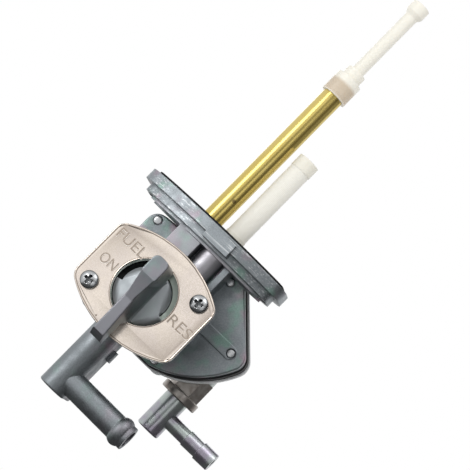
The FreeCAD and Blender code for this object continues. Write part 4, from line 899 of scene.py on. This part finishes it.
class TAP_OT_springs(bpy.types.Operator):
    """Finishes the springs and the spring seat"""

    bl_idname = "tap.springs"
    bl_label = "Springs"

    def execute(self, context):
        spring_steel = plated("spring_steel", context.scene.tap_colours.steel, STEEL_TINT, 0.3, 0.05 * MM)
        coat(spring_steel, "spring_seat")
        spring = smooth_copy("diaphragm_spring", "pressed_spring")
        finish_piece(spring, spring_steel, "tap", "spring_steel", "diaphragm_spring")
        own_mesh(spring)
        # Painted light: the washer's greenish tone is made pale so it shows lit in its gap.
        coat(plated("pale_washer", WASHER_PALE, WASHER_TINT, 0.5, 0.05 * MM, metal=0.3), "wave_washer")
        return {"FINISHED"}


class TAP_OT_vacuum_fitting(bpy.types.Operator):
    """Finishes the hexagon union and the barbed elbow"""

    bl_idname = "tap.vacuum_fitting"
    bl_label = "Union and elbow"

    def execute(self, context):
        colours = context.scene.tap_colours
        coat(plated("plated_union", colours.union, UNION_TINT, 0.36, 0.25 * MM, 3 * MM, 0.1), "vacuum_union")
        coat(plated("plated_elbow", colours.elbow, ELBOW_TINT, 0.3, 0.2 * MM, 5 * MM, 0.06), "vacuum_elbow")
        return {"FINISHED"}


class TAP_OT_studio(bpy.types.Operator):
    """Sets up the pale floor, the soft lights and the camera"""

    bl_idname = "tap.studio"
    bl_label = "Studio"

    # Name, place in metres, the side of the square in metres, power in watts
    LAMPS = (
        ("key_lamp", (-0.53, -0.68, 0.05), 0.34, 1.8),
        ("top_lamp", (0.12, -0.45, 0.62), 0.4, 1.3),
        ("fill_lamp", (0.50, -0.62, -0.05), 0.5, 0.7),
        ("back_lamp", (-0.30, 0.75, 0.3), 0.5, 1.2),
    )
    # Dark cards that only reflections see, for the darker bands in the metal: name, place, size, brightness
    CARDS = (
        ("dark_right", (0.59, -0.094, 0.0), (1.0, 1.5), 0.12),
        ("dark_front", (0.33, -0.82, -0.05), (0.66, 0.8), 0.15),
        ("dark_low", (0.08, 0.0, -0.21), (0.8, 0.6), 0.12),
        ("dark_top", (0.1, 0.35, 0.72), (1.0, 0.5), 0.15),
    )
    FLOOR_RADIUS = 1.1
    # How much of the floor's own white the white rays see, the rest being its shadow
    FLOOR_SHINE = 0.8
    # The world's plain light on the object
    PLAIN_LIGHT = 0.68

    def aim(self, piece, place):
        """Puts a lamp or a card in its place, facing the middle of the tap."""
        middle = (CAD_BOX[0] + CAD_BOX[1]) / 2
        piece.location = place
        piece.rotation_euler = (middle - Vector(place)).to_track_quat("-Z", "Y").to_euler()

    def floor_finish(self):
        """Plain and pale, white to the camera and in reflections, but with some of the object's shadow."""
        finish = Finish("pale_floor")
        dull = finish.node("ShaderNodeBsdfDiffuse", Color=FLOOR_GREY)
        bright = finish.node("ShaderNodeEmission", Color=WHITE, Strength=1.0)
        seen = finish.white_rays() * self.FLOOR_SHINE
        return finish.end(finish.node("ShaderNodeMixShader", s0=seen, s1=dull, s2=bright))

    def card_finish(self, name, shade):
        """An even glow."""
        finish = Finish(name)
        return finish.end(finish.node("ShaderNodeEmission", Color=WHITE, Strength=shade))

    def sky(self):
        """A background that white rays see white, and a plain grey light for the rest."""
        sky = Finish("studio", bpy.data.worlds)
        plain = sky.node("ShaderNodeBackground", Color=WHITE, Strength=self.PLAIN_LIGHT)
        white = sky.node("ShaderNodeBackground", Color=WHITE, Strength=1.0)
        surface = sky.node("ShaderNodeMixShader", s0=sky.white_rays(), s1=plain, s2=white)
        return sky.end(surface, "ShaderNodeOutputWorld")

    def camera(self, studio):
        """The camera looks at its target from the front, then is rolled, which turns the tap clockwise."""
        bpy.ops.object.camera_add()
        camera = bpy.context.object
        camera.name = "camera"
        across, rise = studio.azimuth, studio.elevation
        forward = Vector((-math.sin(across) * math.cos(rise), math.cos(across) * math.cos(rise),
                          -math.sin(rise)))
        target = Vector((studio.target_x, 0, studio.target_z))
        place = Matrix.Translation(target - forward * studio.distance)
        upright = forward.to_track_quat("-Z", "Y").to_matrix().to_4x4()
        camera.matrix_world = place @ upright @ Matrix.Rotation(studio.roll, 4, "Z")
        camera.data.lens = studio.lens
        camera.data.sensor_width = 36
        camera.data.clip_start, camera.data.clip_end = 0.01, 20
        return camera

    def execute(self, context):
        studio = context.scene.tap_studio
        bpy.ops.object.select_all(action="DESELECT")
        bpy.ops.mesh.primitive_circle_add(vertices=64, radius=self.FLOOR_RADIUS, fill_type="NGON",
                                          location=(0, 0, -studio.floor_drop))
        floor = context.object
        floor.name = "floor"
        floor.data.materials.append(self.floor_finish())
        for name, place, size, shade in self.CARDS:
            bpy.ops.mesh.primitive_plane_add(size=1)
            card = context.object
            card.name = name
            card.scale = (*size, 1)
            self.aim(card, place)
            card.data.materials.append(self.card_finish(name, shade))
            card.visible_camera = card.visible_diffuse = False
            card.visible_shadow = card.visible_transmission = False
        for name, place, side, power in self.LAMPS:
            bpy.ops.object.light_add(type="AREA")
            lamp = context.object
            lamp.name = name
            lamp.data.size = side
            lamp.data.energy = power
            self.aim(lamp, place)
        context.scene.world = self.sky()
        context.scene.camera = self.camera(studio)
        context.scene.view_settings.view_transform = "Standard"
        return {"FINISHED"}


OPERATORS = (TAP_OT_castings, TAP_OT_lever, TAP_OT_face_plate, TAP_OT_plate_words, TAP_OT_screws,
             TAP_OT_tubes, TAP_OT_rubber, TAP_OT_springs, TAP_OT_vacuum_fitting, TAP_OT_studio)
GROUPS = {"tap_sizes": TapSizes, "tap_colours": TapColours, "tap_studio": TapStudio}


class TAP_PT_panel(bpy.types.Panel):
    """Lists the finishing steps and their settings"""

    bl_label = "Fuel Tap"
    bl_space_type = "VIEW_3D"
    bl_region_type = "UI"
    bl_category = "Fuel Tap"

    def draw(self, context):
        layout = self.layout
        for operator in OPERATORS:
            layout.operator(operator.bl_idname)
        for name in GROUPS:
            group = getattr(context.scene, name)
            box = layout.box()
            for setting in group.__annotations__:
                box.prop(group, setting)


def register():
    for item in (*GROUPS.values(), *OPERATORS, TAP_PT_panel):
        bpy.utils.register_class(item)
    for name, group in GROUPS.items():
        setattr(bpy.types.Scene, name, PointerProperty(type=group))


def unregister():
    for name in GROUPS:
        delattr(bpy.types.Scene, name)
    for item in (TAP_PT_panel, *reversed(OPERATORS), *reversed(list(GROUPS.values()))):
        bpy.utils.unregister_class(item)


def main():
    register()
    for operator in OPERATORS:
        group, name = operator.bl_idname.split(".")
        getattr(getattr(bpy.ops, group), name)()


if __name__ == "__main__":
    main()
